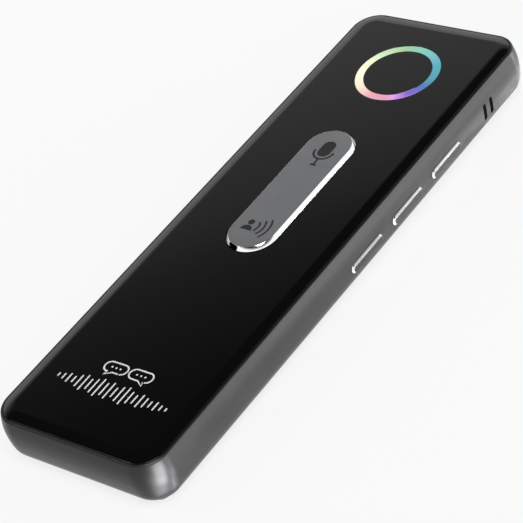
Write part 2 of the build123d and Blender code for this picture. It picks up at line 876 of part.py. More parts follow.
with BuildPart() as memory_chip:
    with BuildSketch(Plane.XY.offset(board_bottom)):
        with Locations((processor_shield_x, memory_y)):
            Rectangle(memory_size, memory_size)
    extrude(amount=-chip_thickness)
save(memory_chip, "memory_chip")

strip_inner = tray_outer_width / 2 + radio_shield_margin
strip_outer = board_half_width - radio_shield_margin
strip_x = (strip_inner + strip_outer) / 2
radio_shield_width = strip_outer - strip_inner

with BuildPart() as radio_shield:
    with BuildSketch(Plane.XY.offset(board_top)):
        with Locations((-strip_x, talk_key_y)):
            Rectangle(radio_shield_width, radio_shield_length)
    extrude(amount=radio_shield_height)
    with BuildSketch(Plane.XY.offset(board_top)):
        with Locations((-strip_x, talk_key_y)):
            Rectangle(
                radio_shield_width - 2 * shield_sheet, radio_shield_length - 2 * shield_sheet
            )
    extrude(amount=radio_shield_height - shield_sheet, mode=Mode.SUBTRACT)
save(radio_shield, "radio_shield")

with BuildPart() as audio_chip:
    with BuildSketch(Plane.XY.offset(board_top)):
        with Locations((strip_x, audio_chip_y)):
            Rectangle(audio_chip_size, audio_chip_size)
    extrude(amount=chip_thickness)
save(audio_chip, "audio_chip")

# ----------------------------------------------------------------------------------------
# Charging port
# ----------------------------------------------------------------------------------------

with BuildPart() as usb_connector:
    with BuildSketch(Plane.XZ.offset(-port_mouth_y)):
        with Locations((0, port_z)):
            SlotOverall(port_shell_width, port_shell_height)
    extrude(amount=port_shell_depth)
    with BuildSketch(Plane.XZ.offset(-port_mouth_y)):
        with Locations((0, port_z)):
            SlotOverall(
                port_shell_width - 2 * port_shell_wall, port_shell_height - 2 * port_shell_wall
            )
    extrude(amount=port_shell_depth - port_shell_wall, mode=Mode.SUBTRACT)
save(usb_connector, "usb_connector")

port_back_y = port_mouth_y - port_shell_depth + port_shell_wall

with BuildPart() as usb_tongue:
    with BuildSketch(Plane.XY.offset(port_z - port_tongue_thickness / 2)) as tongue_plan:
        with Locations((0, port_back_y)):
            Rectangle(
                port_tongue_width, port_tongue_length, align=(Align.CENTER, Align.MIN)
            )
        fillet(tongue_plan.vertices().group_by(Axis.Y)[-1], port_tongue_corner)
    extrude(amount=port_tongue_thickness)
save(usb_tongue, "usb_tongue")

# ----------------------------------------------------------------------------------------
# Microphones, each in a rubber boot with a duct from its hole in the far wall
# ----------------------------------------------------------------------------------------

microphone_places = [(-microphone_x, microphone_y), (microphone_x, microphone_y)]
boot_near_y = microphone_y - microphone_length / 2
boot_far_y = inner_half_length - boot_gap

with BuildPart() as microphones:
    with BuildSketch(Plane.XY.offset(board_bottom)):
        with Locations(*microphone_places):
            Rectangle(microphone_width, microphone_length)
    extrude(amount=-microphone_height)
save(microphones, "microphones")

with BuildPart() as mic_boots:
    with BuildSketch(Plane.XY.offset(microphone_bottom)):
        with Locations(*[(x, boot_near_y) for x, y in microphone_places]):
            Rectangle(boot_width, boot_far_y - boot_near_y, align=(Align.CENTER, Align.MIN))
    extrude(amount=-boot_height)
    with BuildSketch(Plane.XZ.offset(-boot_far_y)):
        with Locations(*[(x, duct_z) for x, y in microphone_places]):
            Circle(sound_duct_radius)
    extrude(amount=boot_far_y - microphone_y, mode=Mode.SUBTRACT)
    with BuildSketch(Plane.XY.offset(microphone_bottom)):
        with Locations(*microphone_places):
            Circle(sound_duct_radius)
    extrude(amount=-boot_height / 2, mode=Mode.SUBTRACT)
save(mic_boots, "mic_boots")

# ----------------------------------------------------------------------------------------
# Loudspeaker over the back's sound holes
# ----------------------------------------------------------------------------------------

with BuildPart() as speaker_mesh:
    with BuildSketch(Plane.XY.offset(floor_thickness)):
        with Locations((0, speaker_y)):
            RectangleRounded(mesh_width, mesh_length, mesh_margin)
    extrude(amount=mesh_thickness)
save(speaker_mesh, "speaker_mesh")

with BuildPart() as speaker_gasket:
    with BuildSketch(Plane.XY.offset(floor_thickness)):
        with Locations((0, speaker_y)):
            RectangleRounded(speaker_width, speaker_length, speaker_edge_radius)
            RectangleRounded(
                speaker_width - 2 * gasket_width,
                speaker_length - 2 * gasket_width,
                speaker_edge_radius / 2,
                mode=Mode.SUBTRACT,
            )
    extrude(amount=gasket_thickness)
save(speaker_gasket, "speaker_gasket")

with BuildPart() as loudspeaker:
    with BuildSketch(Plane.XY.offset(speaker_bottom)):
        with Locations((0, speaker_y)):
            RectangleRounded(speaker_width, speaker_length, speaker_edge_radius)
    extrude(amount=speaker_top - speaker_bottom)
    with BuildSketch(Plane.XY.offset(speaker_bottom)):
        with Locations((0, speaker_y)):
            SlotOverall(
                speaker_width - 2 * speaker_cone_margin,
                speaker_length - 2 * speaker_cone_margin,
            )
    extrude(amount=speaker_cone_depth, mode=Mode.SUBTRACT)
save(loudspeaker, "loudspeaker")

with BuildPart() as speaker_contacts:
    with BuildSketch(Plane.XY.offset(speaker_top)):
        with Locations((0, speaker_y)):
            with GridLocations(contact_pitch, 0, 2, 1):
                Rectangle(contact_width, contact_length)
    extrude(amount=contact_gap_height)
save(speaker_contacts, "speaker_contacts")

# ----------------------------------------------------------------------------------------
# Battery, its tape and foam, and its lead to the board
# ----------------------------------------------------------------------------------------

with BuildPart() as battery:
    with BuildSketch(Plane.XZ.offset(-battery_far_y)):
        with Locations((0, (battery_bottom + battery_top) / 2)):
            RectangleRounded(battery_width, battery_top - battery_bottom, battery_side_radius)
    extrude(amount=battery_length)
save(battery, "battery")

with BuildPart() as battery_tape:
    with BuildSketch(Plane.XY.offset(floor_thickness)):
        with Locations((0, battery_y)):
            Rectangle(battery_tape_width, battery_length - 2 * battery_side_radius)
    extrude(amount=battery_tape_thickness)
save(battery_tape, "battery_tape")

foam_x = battery_width / 2 - battery_foam_side - battery_foam_width / 2

with BuildPart() as battery_foam:
    with BuildSketch(Plane.XY.offset(battery_top)):
        with Locations((-foam_x, battery_y), (foam_x, battery_y)):
            Rectangle(battery_foam_width, battery_length - 2 * battery_side_radius)
    extrude(amount=battery_foam_thickness)
save(battery_foam, "battery_foam")

socket_near_y = board_near_y + socket_setback
plug_near_y = socket_near_y + socket_wall
lead_z = board_top + lead_height
lead_turn_y = board_near_y - lead_turn_gap

with BuildPart() as battery_socket:
    with BuildSketch(Plane.XY.offset(board_top)):
        with Locations((lead_x, socket_near_y)):
            Rectangle(socket_width, socket_length, align=(Align.CENTER, Align.MIN))
    extrude(amount=socket_height)
    with BuildSketch(Plane.XY.offset(board_top + socket_wall)):
        with Locations((lead_x, socket_near_y)):
            Rectangle(
                socket_width - 2 * socket_wall,
                plug_length + socket_wall,
                align=(Align.CENTER, Align.MIN),
            )
    extrude(amount=socket_height, mode=Mode.SUBTRACT)
save(battery_socket, "battery_socket")

with BuildPart() as battery_plug:
    with BuildSketch(Plane.XY.offset(board_top + socket_wall)):
        with Locations((lead_x, plug_near_y)):
            Rectangle(
                socket_width - 2 * socket_wall, plug_length, align=(Align.CENTER, Align.MIN)
            )
    extrude(amount=socket_height - socket_wall)
save(battery_plug, "battery_plug")

with BuildPart() as battery_wires:
    for step in range(lead_count):
        wire_x = lead_x + (step - (lead_count - 1) / 2) * lead_pitch
        with BuildLine():
            FilletPolyline(
                (wire_x, plug_near_y, lead_z),
                (wire_x, lead_turn_y, lead_z),
                (wire_x, lead_turn_y, lead_z - lead_drop),
                (wire_x, battery_far_y, lead_z - lead_drop),
                radius=lead_bend_radius,
            )
        with BuildSketch(Plane.XZ.offset(-plug_near_y)):
            with Locations((wire_x, lead_z)):
                Circle(lead_radius)
        sweep()
save(battery_wires, "battery_wires")

# ----------------------------------------------------------------------------------------
# Antenna under the frame, with its spring on the board
# ----------------------------------------------------------------------------------------

antenna_far_y = board_far_y - antenna_setback
antenna_bottom = frame_bottom - antenna_thickness

with BuildPart() as antenna:
    with BuildSketch(Plane.XY.offset(antenna_bottom)):
        with Locations((0, antenna_far_y)):
            Rectangle(antenna_length, antenna_width, align=(Align.CENTER, Align.MAX))
    extrude(amount=antenna_thickness)
save(antenna, "antenna")

antenna_y = antenna_far_y - antenna_width / 2
spring_foot_z = board_top + antenna_spring_sheet / 2
spring_head_z = antenna_bottom - antenna_spring_sheet / 2

with BuildPart() as antenna_spring:
    with BuildSketch(Plane.YZ.offset(antenna_spring_x - antenna_spring_width / 2)):
        with BuildLine():
            spring_line = Polyline(
                (antenna_y + antenna_spring_reach, spring_foot_z),
                (antenna_y - antenna_spring_reach, spring_foot_z),
                (antenna_y + antenna_spring_reach / 2, spring_head_z),
                (antenna_y - antenna_spring_reach, spring_head_z),
            )
            offset(spring_line, antenna_spring_sheet / 2, kind=Kind.INTERSECTION)
        make_face()
    extrude(amount=antenna_spring_width)
save(antenna_spring, "antenna_spring")
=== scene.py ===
# %% [markdown]
# # A handheld voice translator
#
# The real object is a slim tub, milled from aluminium and anodised graphite grey, closed by
# a black glass front. A long talk key stands up through the glass, and a thin ring lights up
# beyond it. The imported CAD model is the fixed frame: it says where every piece is and what
# moves. This script adds what the eye needs, which is surface, edge and light.

# %% Load the frame
import json
import math

import bmesh
import bpy
from mathutils import Matrix, Vector
from mathutils.bvhtree import BVHTree
from mathutils.interpolate import poly_3d_calc


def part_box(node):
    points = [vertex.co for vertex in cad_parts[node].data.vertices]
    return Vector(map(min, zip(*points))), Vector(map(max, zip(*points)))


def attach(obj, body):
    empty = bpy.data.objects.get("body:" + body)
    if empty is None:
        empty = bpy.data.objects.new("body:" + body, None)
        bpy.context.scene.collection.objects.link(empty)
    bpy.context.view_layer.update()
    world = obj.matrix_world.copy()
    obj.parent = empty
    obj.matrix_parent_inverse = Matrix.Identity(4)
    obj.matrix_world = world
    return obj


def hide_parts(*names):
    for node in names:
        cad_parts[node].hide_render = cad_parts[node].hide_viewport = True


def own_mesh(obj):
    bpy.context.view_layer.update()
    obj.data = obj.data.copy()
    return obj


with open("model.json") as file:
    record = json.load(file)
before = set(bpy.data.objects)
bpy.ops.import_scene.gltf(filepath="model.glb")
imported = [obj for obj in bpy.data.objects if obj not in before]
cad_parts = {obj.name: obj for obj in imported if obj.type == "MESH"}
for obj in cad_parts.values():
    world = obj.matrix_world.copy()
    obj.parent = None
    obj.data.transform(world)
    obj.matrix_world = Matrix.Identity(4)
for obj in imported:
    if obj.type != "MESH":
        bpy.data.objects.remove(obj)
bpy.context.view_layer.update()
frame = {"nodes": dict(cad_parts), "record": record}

MM = 0.001               # Blender works in metres here, and sizes below are in millimetres


# %% [markdown]
# ## Colours and nodes
#
# Designers write colours as sRGB hex values, and the renderer wants linear light. One function
# does the change. Node trees get long when each node takes several lines, so one small function
# adds a node, sets it and links it. It leaves the inputs to another, which also serves the nodes
# that Blender adds by itself.

# %% Colour and node helpers
def linear(hex_colour):
    """An sRGB hex colour such as "#6e7074", as linear red, green, blue and alpha."""
    channels = [int(hex_colour[i:i + 2], 16) / 255 for i in (1, 3, 5)]
    return [c / 12.92 if c <= 0.04045 else ((c + 0.055) / 1.055) ** 2.4 for c in channels] + [1.0]


def set_inputs(node, **inputs):
    """Give a node's inputs their values, or link them to the sockets given.

    An input's name has underscores for spaces, and a name such as in_2 is the input's place."""
    for name, value in inputs.items():
        key = int(name[3:]) if name.startswith("in_") else name.replace("_", " ")
        if isinstance(value, bpy.types.NodeSocket):
            node.id_data.links.new(value, node.inputs[key])
        else:
            node.inputs[key].default_value = value
    return node


def add_node(tree, kind, settings=None, **inputs):
    """Add one node. settings are its own properties, and inputs go to set_inputs."""
    node = tree.nodes.new(kind)
    for name, value in (settings or {}).items():
        setattr(node, name, value)
    return set_inputs(node, **inputs)


def new_material(name):
    """An empty material with its Principled shader, ready for nodes: (material, tree, shader)."""
    material = bpy.data.materials.new(name)
    material.use_nodes = True
    tree = material.node_tree
    return material, tree, tree.nodes["Principled BSDF"]


graphite = "#3b3b3c"     # the dye in the anodised body and side keys
print("graphite in linear light:", [round(c, 3) for c in linear(graphite)[:3]])


# %% [markdown]
# ## The camera
#
# It looks down on the near right corner from a little under half a metre, with a long lens, and
# it is rolled so that the body runs up the picture from lower left to upper right. The place is
# given as it would be on a tripod: a bearing, an elevation, a distance, a roll and a small shift.

# %% Camera
camera_bearing = math.radians(47.726)       # round from the near end towards the keys
camera_elevation = math.radians(38.396)
camera_roll = math.radians(19.06)
camera_distance = 459.5                     # from the origin, along the view
camera_sideways = 4.855                     # how far the picture's middle is off the origin
camera_upwards = 0.468
focal_length = 146.65
sensor_width = 36

away = Vector((
    math.sin(camera_bearing) * math.cos(camera_elevation),
    -math.cos(camera_bearing) * math.cos(camera_elevation),
    math.sin(camera_elevation),
))
level_right = Vector((math.cos(camera_bearing), math.sin(camera_bearing), 0))
level_up = away.cross(level_right)
picture_right = level_right * math.cos(camera_roll) - level_up * math.sin(camera_roll)
picture_up = level_right * math.sin(camera_roll) + level_up * math.cos(camera_roll)
camera_place = away * camera_distance - picture_right * camera_sideways - picture_up * camera_upwards

camera_data = bpy.data.cameras.new("camera")
camera_data.lens = focal_length
camera_data.sensor_width = sensor_width
camera = bpy.data.objects.new("camera", camera_data)
camera.matrix_world = Matrix.Translation(camera_place * MM) @ Matrix(
    (picture_right, picture_up, away)
).transposed().to_4x4()
bpy.context.scene.collection.objects.link(camera)
bpy.context.scene.camera = camera
print("camera at", [round(value) for value in camera_place], "mm")


# %% [markdown]
# ## The studio
#
# Dark glass and metal show nothing but what stands round them, so the room matters as much as
# the lamps: it is white round the horizon and falls off to a dark ceiling. The white walls draw
# the bright lines along polished edges, and the dark ceiling keeps the glass black. A black
# flag at the left gives the polished edge of the key one dark break, which says that it is a
# mirror. The object lies on a sweep of white paper. Part of the paper's light comes from behind
# it, so the paper stays even and the shadow on it is faint.

# %% Floor
def new_object(name, mesh, materials=()):
    """A scene object from a bmesh, which is used up.

    A piece with two finishes gets its materials here, so that every later cut keeps both."""
    data = bpy.data.meshes.new(name)
    mesh.to_mesh(data)
    mesh.free()
    for material in materials:
        data.materials.append(material)
    piece = bpy.data.objects.new(name, data)
    bpy.context.scene.collection.objects.link(piece)
    return piece


floor_size = 6000
floor_mesh = bmesh.new()
bmesh.ops.create_grid(floor_mesh, x_segments=1, y_segments=1, size=floor_size / 2 * MM)
floor = new_object("floor", floor_mesh)

# %% Paper
backlight_share = 0.8    # the rest of what is seen is lit from the front, and holds the shadow
paper, tree, shader = new_material("pale_sweep_paper")
set_inputs(shader, Base_Color=linear("#e9e9e9"), Roughness=0.9, Specular_IOR_Level=0.0)
paper.cycles.emission_sampling = "NONE"    # its backlight is seen and mirrored, no more
rays = add_node(tree, "ShaderNodeLightPath").outputs
direct = add_node(
    tree, "ShaderNodeMath", {"operation": "MAXIMUM"},
    in_0=rays["Is Camera Ray"], in_1=rays["Is Glossy Ray"],
)
seen = add_node(
    tree, "ShaderNodeMath", {"operation": "MAXIMUM"},
    in_0=direct.outputs["Value"], in_1=rays["Is Transmission Ray"],
)
share = add_node(
    tree, "ShaderNodeMath", {"operation": "MULTIPLY"},
    in_0=seen.outputs["Value"], in_1=backlight_share,
)
backlight = add_node(tree, "ShaderNodeEmission", Color=linear("#fcfcfc"))
both = add_node(
    tree, "ShaderNodeMixShader",
    Fac=share.outputs["Value"], in_1=shader.outputs["BSDF"], in_2=backlight.outputs["Emission"],
)
set_inputs(tree.nodes["Material Output"], Surface=both.outputs["Shader"])
floor.data.materials.append(paper)
print("sweep paper lit from behind:", backlight_share)

# %% Room: white round the horizon, dark overhead, with a flag at the left
def towards(bearing, elevation):
    """The direction at a bearing, from the near end towards the keys, and an elevation."""
    turn, rise = math.radians(bearing), math.radians(elevation)
    return Vector((
        math.sin(turn) * math.cos(rise), -math.cos(turn) * math.cos(rise), math.sin(rise)
    ))


ceiling_stops = (        # sine of the elevation, and how bright the room is there
    (0.03, 0.00), (0.06, 1.00), (0.50, 1.00), (0.54, 0.50), (0.56, 0.43), (0.58, 0.35),
    (0.60, 0.26), (0.615, 0.15), (0.63, 0.10), (0.65, 0.05), (0.67, 0.03),
)
flag_bearing, flag_elevation = -62, 14
flag_edge = (19, 22)     # degrees from its middle to where it starts and has ended, softly
room_level = 1.06
world = bpy.data.worlds.new("studio_room")
world.use_nodes = True
bpy.context.scene.world = world
tree = world.node_tree
place = add_node(tree, "ShaderNodeTexCoord")
direction = add_node(
    tree, "ShaderNodeVectorMath", {"operation": "NORMALIZE"}, in_0=place.outputs["Generated"]
)
axes = add_node(tree, "ShaderNodeSeparateXYZ", Vector=direction.outputs["Vector"])
ceiling = add_node(tree, "ShaderNodeValToRGB", Fac=axes.outputs["Z"])
stops = ceiling.color_ramp.elements
for spare, (sine, level) in zip(stops, (ceiling_stops[0], ceiling_stops[-1])):
    spare.position, spare.color = sine, (level, level, level, 1)
for sine, level in ceiling_stops[1:-1]:
    stops.new(sine).color = (level, level, level, 1)
beside_flag = add_node(
    tree, "ShaderNodeVectorMath", {"operation": "DOT_PRODUCT"},
    in_0=direction.outputs["Vector"], in_1=towards(flag_bearing, flag_elevation),
)
open_wall = add_node(
    tree, "ShaderNodeMapRange",
    Value=beside_flag.outputs["Value"],
    From_Min=math.cos(math.radians(flag_edge[1])), From_Max=math.cos(math.radians(flag_edge[0])),
    To_Min=room_level, To_Max=0.0,
)
set_inputs(
    tree.nodes["Background"], Color=ceiling.outputs["Color"], Strength=open_wall.outputs["Result"]
)
print("room: white up to", round(math.degrees(math.asin(ceiling_stops[2][0]))), "degrees")


# %% [markdown]
# ## The lamps
#
# A soft sun stands for a silk overhead and lights what faces up. Two panels add to it, one low
# at the far right and one high at the near left. The tub's walls lean in at the bottom, so they
# mirror the table, which on a real set would be a lit sheet of frosted glass. Here small lamps
# under the table stand for that sheet, and the paper casts no shadow, so their light comes
# through. They are small and only the light samples find them, which keeps the walls free of
# noise.

# %% Lamps
lamp_distance = 900
lamp_power = 4           # watts per square metre at a brightness of 1


def hang_lamp(name, kind, bearing, elevation):
    """A lamp that faces the object from that bearing and elevation."""
    data = bpy.data.lights.new(name, kind)
    lamp = bpy.data.objects.new(name, data)
    out = towards(bearing, elevation)
    lamp.location = out * lamp_distance * MM
    lamp.rotation_euler = out.to_track_quat("Z", "Y").to_euler()
    bpy.context.scene.collection.objects.link(lamp)
    return data


silk_bearing, silk_elevation, silk_spread, silk_strength = 60, 62, 40, 2.4
silk = hang_lamp("overhead_silk", "SUN", silk_bearing, silk_elevation)
silk.energy = silk_strength
silk.angle = math.radians(silk_spread)

panels = (               # bearing, elevation, brightness, width, height
    (128, 4, 7.0, 420, 220), (-58, 48, 2.0, 350, 300),
)
table_lamps = (          # bearing, elevation, brightness
    (25, -58, 8.7), (32, -38, 8.0), (50, -58, 12.0), (50, -38, 36.0), (66, -38, 40.0),
    (54, -18, 32.0), (71, -18, 44.0), (100, -58, 16.0), (100, -38, 16.0), (100, -18, 12.0),
    (125, -18, 7.0), (150, -38, 5.0), (150, -18, 13.0), (178, -38, 9.0),
)
table_lamp_side = 160
floor.visible_shadow = False
under_table = tuple((*lamp, table_lamp_side, table_lamp_side) for lamp in table_lamps)
for bearing, elevation, brightness, width, height in panels + under_table:
    box = hang_lamp(f"softbox_{bearing}_{elevation}", "AREA", bearing, elevation)
    box.shape = "RECTANGLE"
    box.size, box.size_y = width * MM, height * MM
    box.energy = lamp_power * brightness * box.size * box.size_y
    box.cycles.use_multiple_importance_sampling = elevation > 0
bpy.context.scene.view_settings.view_transform = "Standard"
print("lamps:", 1 + len(panels + under_table))


# %% [markdown]
# ## How the pieces are shaped
#
# Nearly every piece here is a rounded outline carried through a profile, as a milling cutter
# runs round a block: the shell, the glass, the keys and the ring. So one function sweeps a
# profile round an outline. The profile's points are pairs: how far outwards from the outline,
# and how high. Small rounds on every edge catch the light, as they do on a real part. Shapes
# are made in millimetres and turned into metres when they are finished.

# %% Outlines
def plate_outline(length, width, radius, steps=16, centre=(0, 0), pitch=3.0):
    """Points round a rounded plate, each with the direction that is outwards there.

    The length lies along the second axis. A radius of half the width gives a pill or a disc.
    The straight sides get points at about the pitch too, which keeps the shading even."""
    outline = []
    for quarter, (across, along) in enumerate(((1, 1), (-1, 1), (-1, -1), (1, -1))):
        to_hub = Vector((across * (width / 2 - radius), along * (length / 2 - radius)))
        hub = Vector(centre) + to_hub
        for step in range(steps + 1):
            angle = math.pi / 2 * (quarter + step / steps)
            outwards = Vector((math.cos(angle), math.sin(angle)))
            outline.append((hub + outwards * radius, outwards))
        corner, ahead = hub + outwards * radius, Vector((-outwards.y, outwards.x))
        straight = (length if quarter % 2 else width) - 2 * radius
        pieces = int(straight / pitch)
        outline += [(corner + ahead * straight * i / pieces, outwards) for i in range(1, pieces)]
    return outline


def disc_outline(radius, centre=(0, 0), steps=8):
    """Points round a circle."""
    return plate_outline(2 * radius, 2 * radius, radius, steps, centre)


def row_of(count, pitch):
    """Places in a row, evenly about zero."""
    return [(i - (count - 1) / 2) * pitch for i in range(count)]


# %% Profiles
def rounded_line(corners, radii, steps=6):
    """A line through the corners. Each inner corner is rounded to its radius."""
    points = [Vector(corners[0])]
    for before, corner, after, radius in zip(corners, corners[1:], corners[2:], radii):
        corner = Vector(corner)
        back = (Vector(before) - corner).normalized()
        ahead = (Vector(after) - corner).normalized()
        if radius <= 0:
            points.append(corner)
            continue
        half = back.angle(ahead) / 2
        hub = corner + (back + ahead).normalized() * radius / math.sin(half)
        first = corner + back * radius / math.tan(half) - hub
        last = corner + ahead * radius / math.tan(half) - hub
        start = math.atan2(first.y, first.x)
        swing = math.atan2(first.x * last.y - first.y * last.x, first.dot(last))
        for step in range(steps + 1):
            angle = start + swing * step / steps
            points.append(hub + Vector((math.cos(angle), math.sin(angle))) * radius)
    points.append(Vector(corners[-1]))
    return points


# %% The sweep
def sweep_round(mesh, outline, profile, place=None, slots=None, loop=False):
    """Carry a profile round an outline and close both ends with flat faces.

    place turns the result to where it belongs. slots gives the material slot from each of the
    profile's points to the next, and then of the first and the last flat face. With loop, the
    profile comes back to its start instead, as for a ring of soft rubber."""
    place = place or Matrix.Identity(4)
    rings = [
        [mesh.verts.new(place @ Vector((*(spot + outwards * out), up))) for spot, outwards in outline]
        for out, up in profile
    ]
    count = len(outline)
    above_each = rings[1:] + rings[:1] if loop else rings[1:]
    for step, (ring, above) in enumerate(zip(rings, above_each)):
        for i in range(count):
            j = (i + 1) % count
            face = mesh.faces.new((ring[i], ring[j], above[j], above[i]))
            face.material_index = slots[step] if slots else 0
    if not loop:
        for place_in_slots, ring in ((-2, rings[0]), (-1, rings[-1])):
            mesh.faces.new(ring).material_index = slots[place_in_slots] if slots else 0
    corners = [corner for ring in rings for corner in ring]
    bmesh.ops.remove_doubles(mesh, verts=corners, dist=1e-5)
    bmesh.ops.recalc_face_normals(mesh, faces=mesh.faces)


def facing(origin, across, along, out):
    """The matrix that puts a shape's own three axes on these directions, at this origin."""
    turn = Matrix((across, along, out)).transposed().to_4x4()
    return Matrix.Translation(origin) @ turn


X, Y, Z = Vector((1, 0, 0)), Vector((0, 1, 0)), Vector((0, 0, 1))


# %% Cuts and joins
def apply_modifiers(piece):
    """Replace the piece's mesh by what its modifiers make of it."""
    seen = piece.evaluated_get(bpy.context.evaluated_depsgraph_get())
    made = bpy.data.meshes.new_from_object(seen)
    piece.modifiers.clear()
    piece.data = made


def combine(piece, tool_mesh, operation="DIFFERENCE"):
    """Cut a tool's shape out of the piece, or add it with UNION.

    The manifold solver gives the same faces on every run. It adds an empty material slot to a
    piece without one, so that goes again."""
    has_finish = len(piece.data.materials) > 0
    tool = new_object("tool", tool_mesh)
    modifier = piece.modifiers.new("combine", "BOOLEAN")
    modifier.operation = operation
    modifier.solver = "MANIFOLD"
    modifier.object = tool
    bpy.context.view_layer.update()
    apply_modifiers(piece)
    bpy.data.objects.remove(tool)
    if not has_finish:
        piece.data.materials.clear()


# %% Soft edges
def soften_edges(piece, low, high, width, sharper_than=60):
    """Round the edges sharper than that many degrees, with both ends in the box low to high."""
    mesh = bmesh.new()
    mesh.from_mesh(piece.data)
    inside = {v for v in mesh.verts if all(a <= b <= c for a, b, c in zip(low, v.co, high))}
    edges = [
        e for e in mesh.edges
        if inside.issuperset(e.verts)
        and len(e.link_faces) == 2
        and e.calc_face_angle() > math.radians(sharper_than)
    ]
    bmesh.ops.bevel(
        mesh, geom=edges, offset=width, segments=2, profile=0.5, affect="EDGES", clamp_overlap=True
    )
    mesh.to_mesh(piece.data)
    mesh.free()
    return len(edges)


# %% Even shading round a cut
same_surface = 0.003     # mm
same_direction = math.cos(math.radians(12))


def borrow_shading(mesh, uncut):
    """Give a cut mesh the shading of its uncut shape, wherever the surface is still the same.

    Cuts leave odd-shaped faces, and the averaged normals of those show as faint streaks."""
    spots = [v.co for v in uncut.vertices]
    tree = BVHTree.FromPolygons(spots, [f.vertices for f in uncut.polygons])
    source = [corner.vector.copy() for corner in uncut.corner_normals]
    normals = [corner.vector.copy() for corner in mesh.corner_normals]
    borrowed = 0
    for face in mesh.polygons:
        for loop in face.loop_indices:
            corner = mesh.vertices[mesh.loops[loop].vertex_index].co
            spot, _, index, gap = tree.find_nearest(corner)
            near = uncut.polygons[index]
            if gap > same_surface or face.normal.dot(near.normal) < same_direction:
                continue
            shares = poly_3d_calc([spots[i] for i in near.vertices], spot)
            mixed = Vector((0, 0, 0))
            for share, near_loop in zip(shares, near.loop_indices):
                mixed += source[near_loop] * share
            normals[loop] = mixed.normalized()
            borrowed += 1
    mesh.normals_split_custom_set(normals)
    return borrowed


# %% From shape to finished piece
def finish_piece(piece, body, materials, nodes=(), smooth_below=32, uncut=None):
    """To metres, smooth where the surface runs on, with its materials, body and CAD nodes."""
    for mesh in [piece.data] + ([uncut] if uncut else []):
        mesh.shade_smooth()
        mesh.set_sharp_from_angle(angle=math.radians(smooth_below))
    if uncut:
        print("corners with the shading of the uncut shape:", borrow_shading(piece.data, uncut))
    else:
        piece.modifiers.new("even_normals", "WEIGHTED_NORMAL").keep_sharp = True
    piece.data.transform(Matrix.Scale(MM, 4))
    if not piece.data.materials:
        for material in materials:
            piece.data.materials.append(material)
    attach(piece, body)
    if nodes:
        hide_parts(*nodes)
    print(piece.name, len(piece.data.polygons), "faces")
    return piece


def box_mm(node):
    """The lowest and highest corners of a CAD node, in millimetres."""
    return [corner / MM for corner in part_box(node)]


# %% [markdown]
# ## Finishes
#
# Every finish but one starts as the real material: its colour, how rough its process leaves it,
# and a grain of a real size. The near-black one in the cord chamber is painted shade. Noise of
# two sizes does most of the work. A large one varies colour and gloss as handling and plating do.
# A small one is the grain, and only bumps the surface. Where the real grain is finer than the
# picture can show, it is drawn coarser, and the note says so.

# %% A grained finish
gloss_swing = 0.12       # how far the roughness strays, as a share of it


def grained(
    name, colour, roughness, metallic=0.0, grain=0.2, depth=4.0, mottle=0.08, cloud=6.0, ior=None
):
    """A finish with a grain in mm, its depth in thousandths of a mm, and clouds in mm."""
    material, tree, shader = new_material(name)
    if ior:
        set_inputs(shader, IOR=ior)
    place = add_node(tree, "ShaderNodeTexCoord").outputs["Object"]
    clouds = add_node(tree, "ShaderNodeTexNoise", Vector=place, Scale=1 / (cloud * MM), Detail=3.0)
    darker, lighter = (
        [min(1, channel * share) for channel in linear(colour)[:3]] + [1]
        for share in (1 - mottle, 1 + mottle)
    )
    tint = add_node(
        tree, "ShaderNodeMix", {"data_type": "RGBA"},
        in_0=clouds.outputs["Fac"], in_6=darker, in_7=lighter,
    )
    gloss = add_node(
        tree, "ShaderNodeMapRange", Value=clouds.outputs["Fac"],
        To_Min=roughness * (1 - gloss_swing), To_Max=roughness * (1 + gloss_swing),
    )
    grains = add_node(tree, "ShaderNodeTexNoise", Vector=place, Scale=1 / (grain * MM), Detail=2.0)
    bump = add_node(
        tree, "ShaderNodeBump", Height=grains.outputs["Fac"], Strength=0.5, Distance=depth * MM * MM
    )
    set_inputs(
        shader, Base_Color=tint.outputs[2], Metallic=metallic,
        Roughness=gloss.outputs["Result"], Normal=bump.outputs["Normal"],
    )
    return material


# %% Metals, glass and ink that show
# Blasted with fine glass bead, then anodised graphite: an even, silky sheen with no glint.
# The real grit is about 0.05 mm, drawn at 0.18 mm.
anodised = grained(
    "bead_blasted_anodised_aluminium", graphite, 0.36, metallic=1.0, grain=0.18, depth=1.5
)

# The talk key's face is blasted finer and keeps a pale dye, so it is lighter than the body.
satin = grained("satin_anodised_aluminium", "#9fa0a2", 0.38, metallic=1.0, grain=0.15, depth=1.0)

# The keys' edges are cut with a diamond after anodising: bare metal, as bright as a mirror.
bright_cut = grained(
    "diamond_cut_aluminium", "#f5f6f7", 0.07, metallic=1.0, grain=0.6, depth=0.3, mottle=0.02
)

# Aluminosilicate cover glass, printed black behind: deep black, with a clear reflection.
glass = grained(
    "black_cover_glass", "#050506", 0.045, grain=30.0, depth=6.0, mottle=0.2, cloud=18.0, ior=1.51
)

# Laser marking leaves a dull dark layer on anodised metal.
laser_mark = grained("laser_marked_aluminium", "#111112", 0.7, grain=0.12, depth=2.0)

# Near-black paint in the cord chamber and slots is painted shade, so the hollow looks deep.
painted_shade = grained("painted_shade_near_black", "#020203", 0.9, grain=0.15, depth=1.5)
set_inputs(painted_shade.node_tree.nodes["Principled BSDF"], Specular_IOR_Level=0.1)

# Screen printed ink lies on the glass as a thin, slightly rough film.
ink = grained("white_screen_print", "#cfd0d1", 0.55, grain=0.15, depth=1.5)
outer = (anodised, satin, bright_cut, glass, laser_mark, painted_shade, ink)
print("outer finishes:", ", ".join(finish.name for finish in outer))


# %% [markdown]
# ## The light ring's glow
#
# Eight small lamps under a milky polycarbonate guide each have their own colour, and the milk
# blends them into a rainbow. The glow is drawn by the angle round the ring's centre, so the
# colour ramp goes once round. The plastic itself is dim here, because the lamps outshine it.

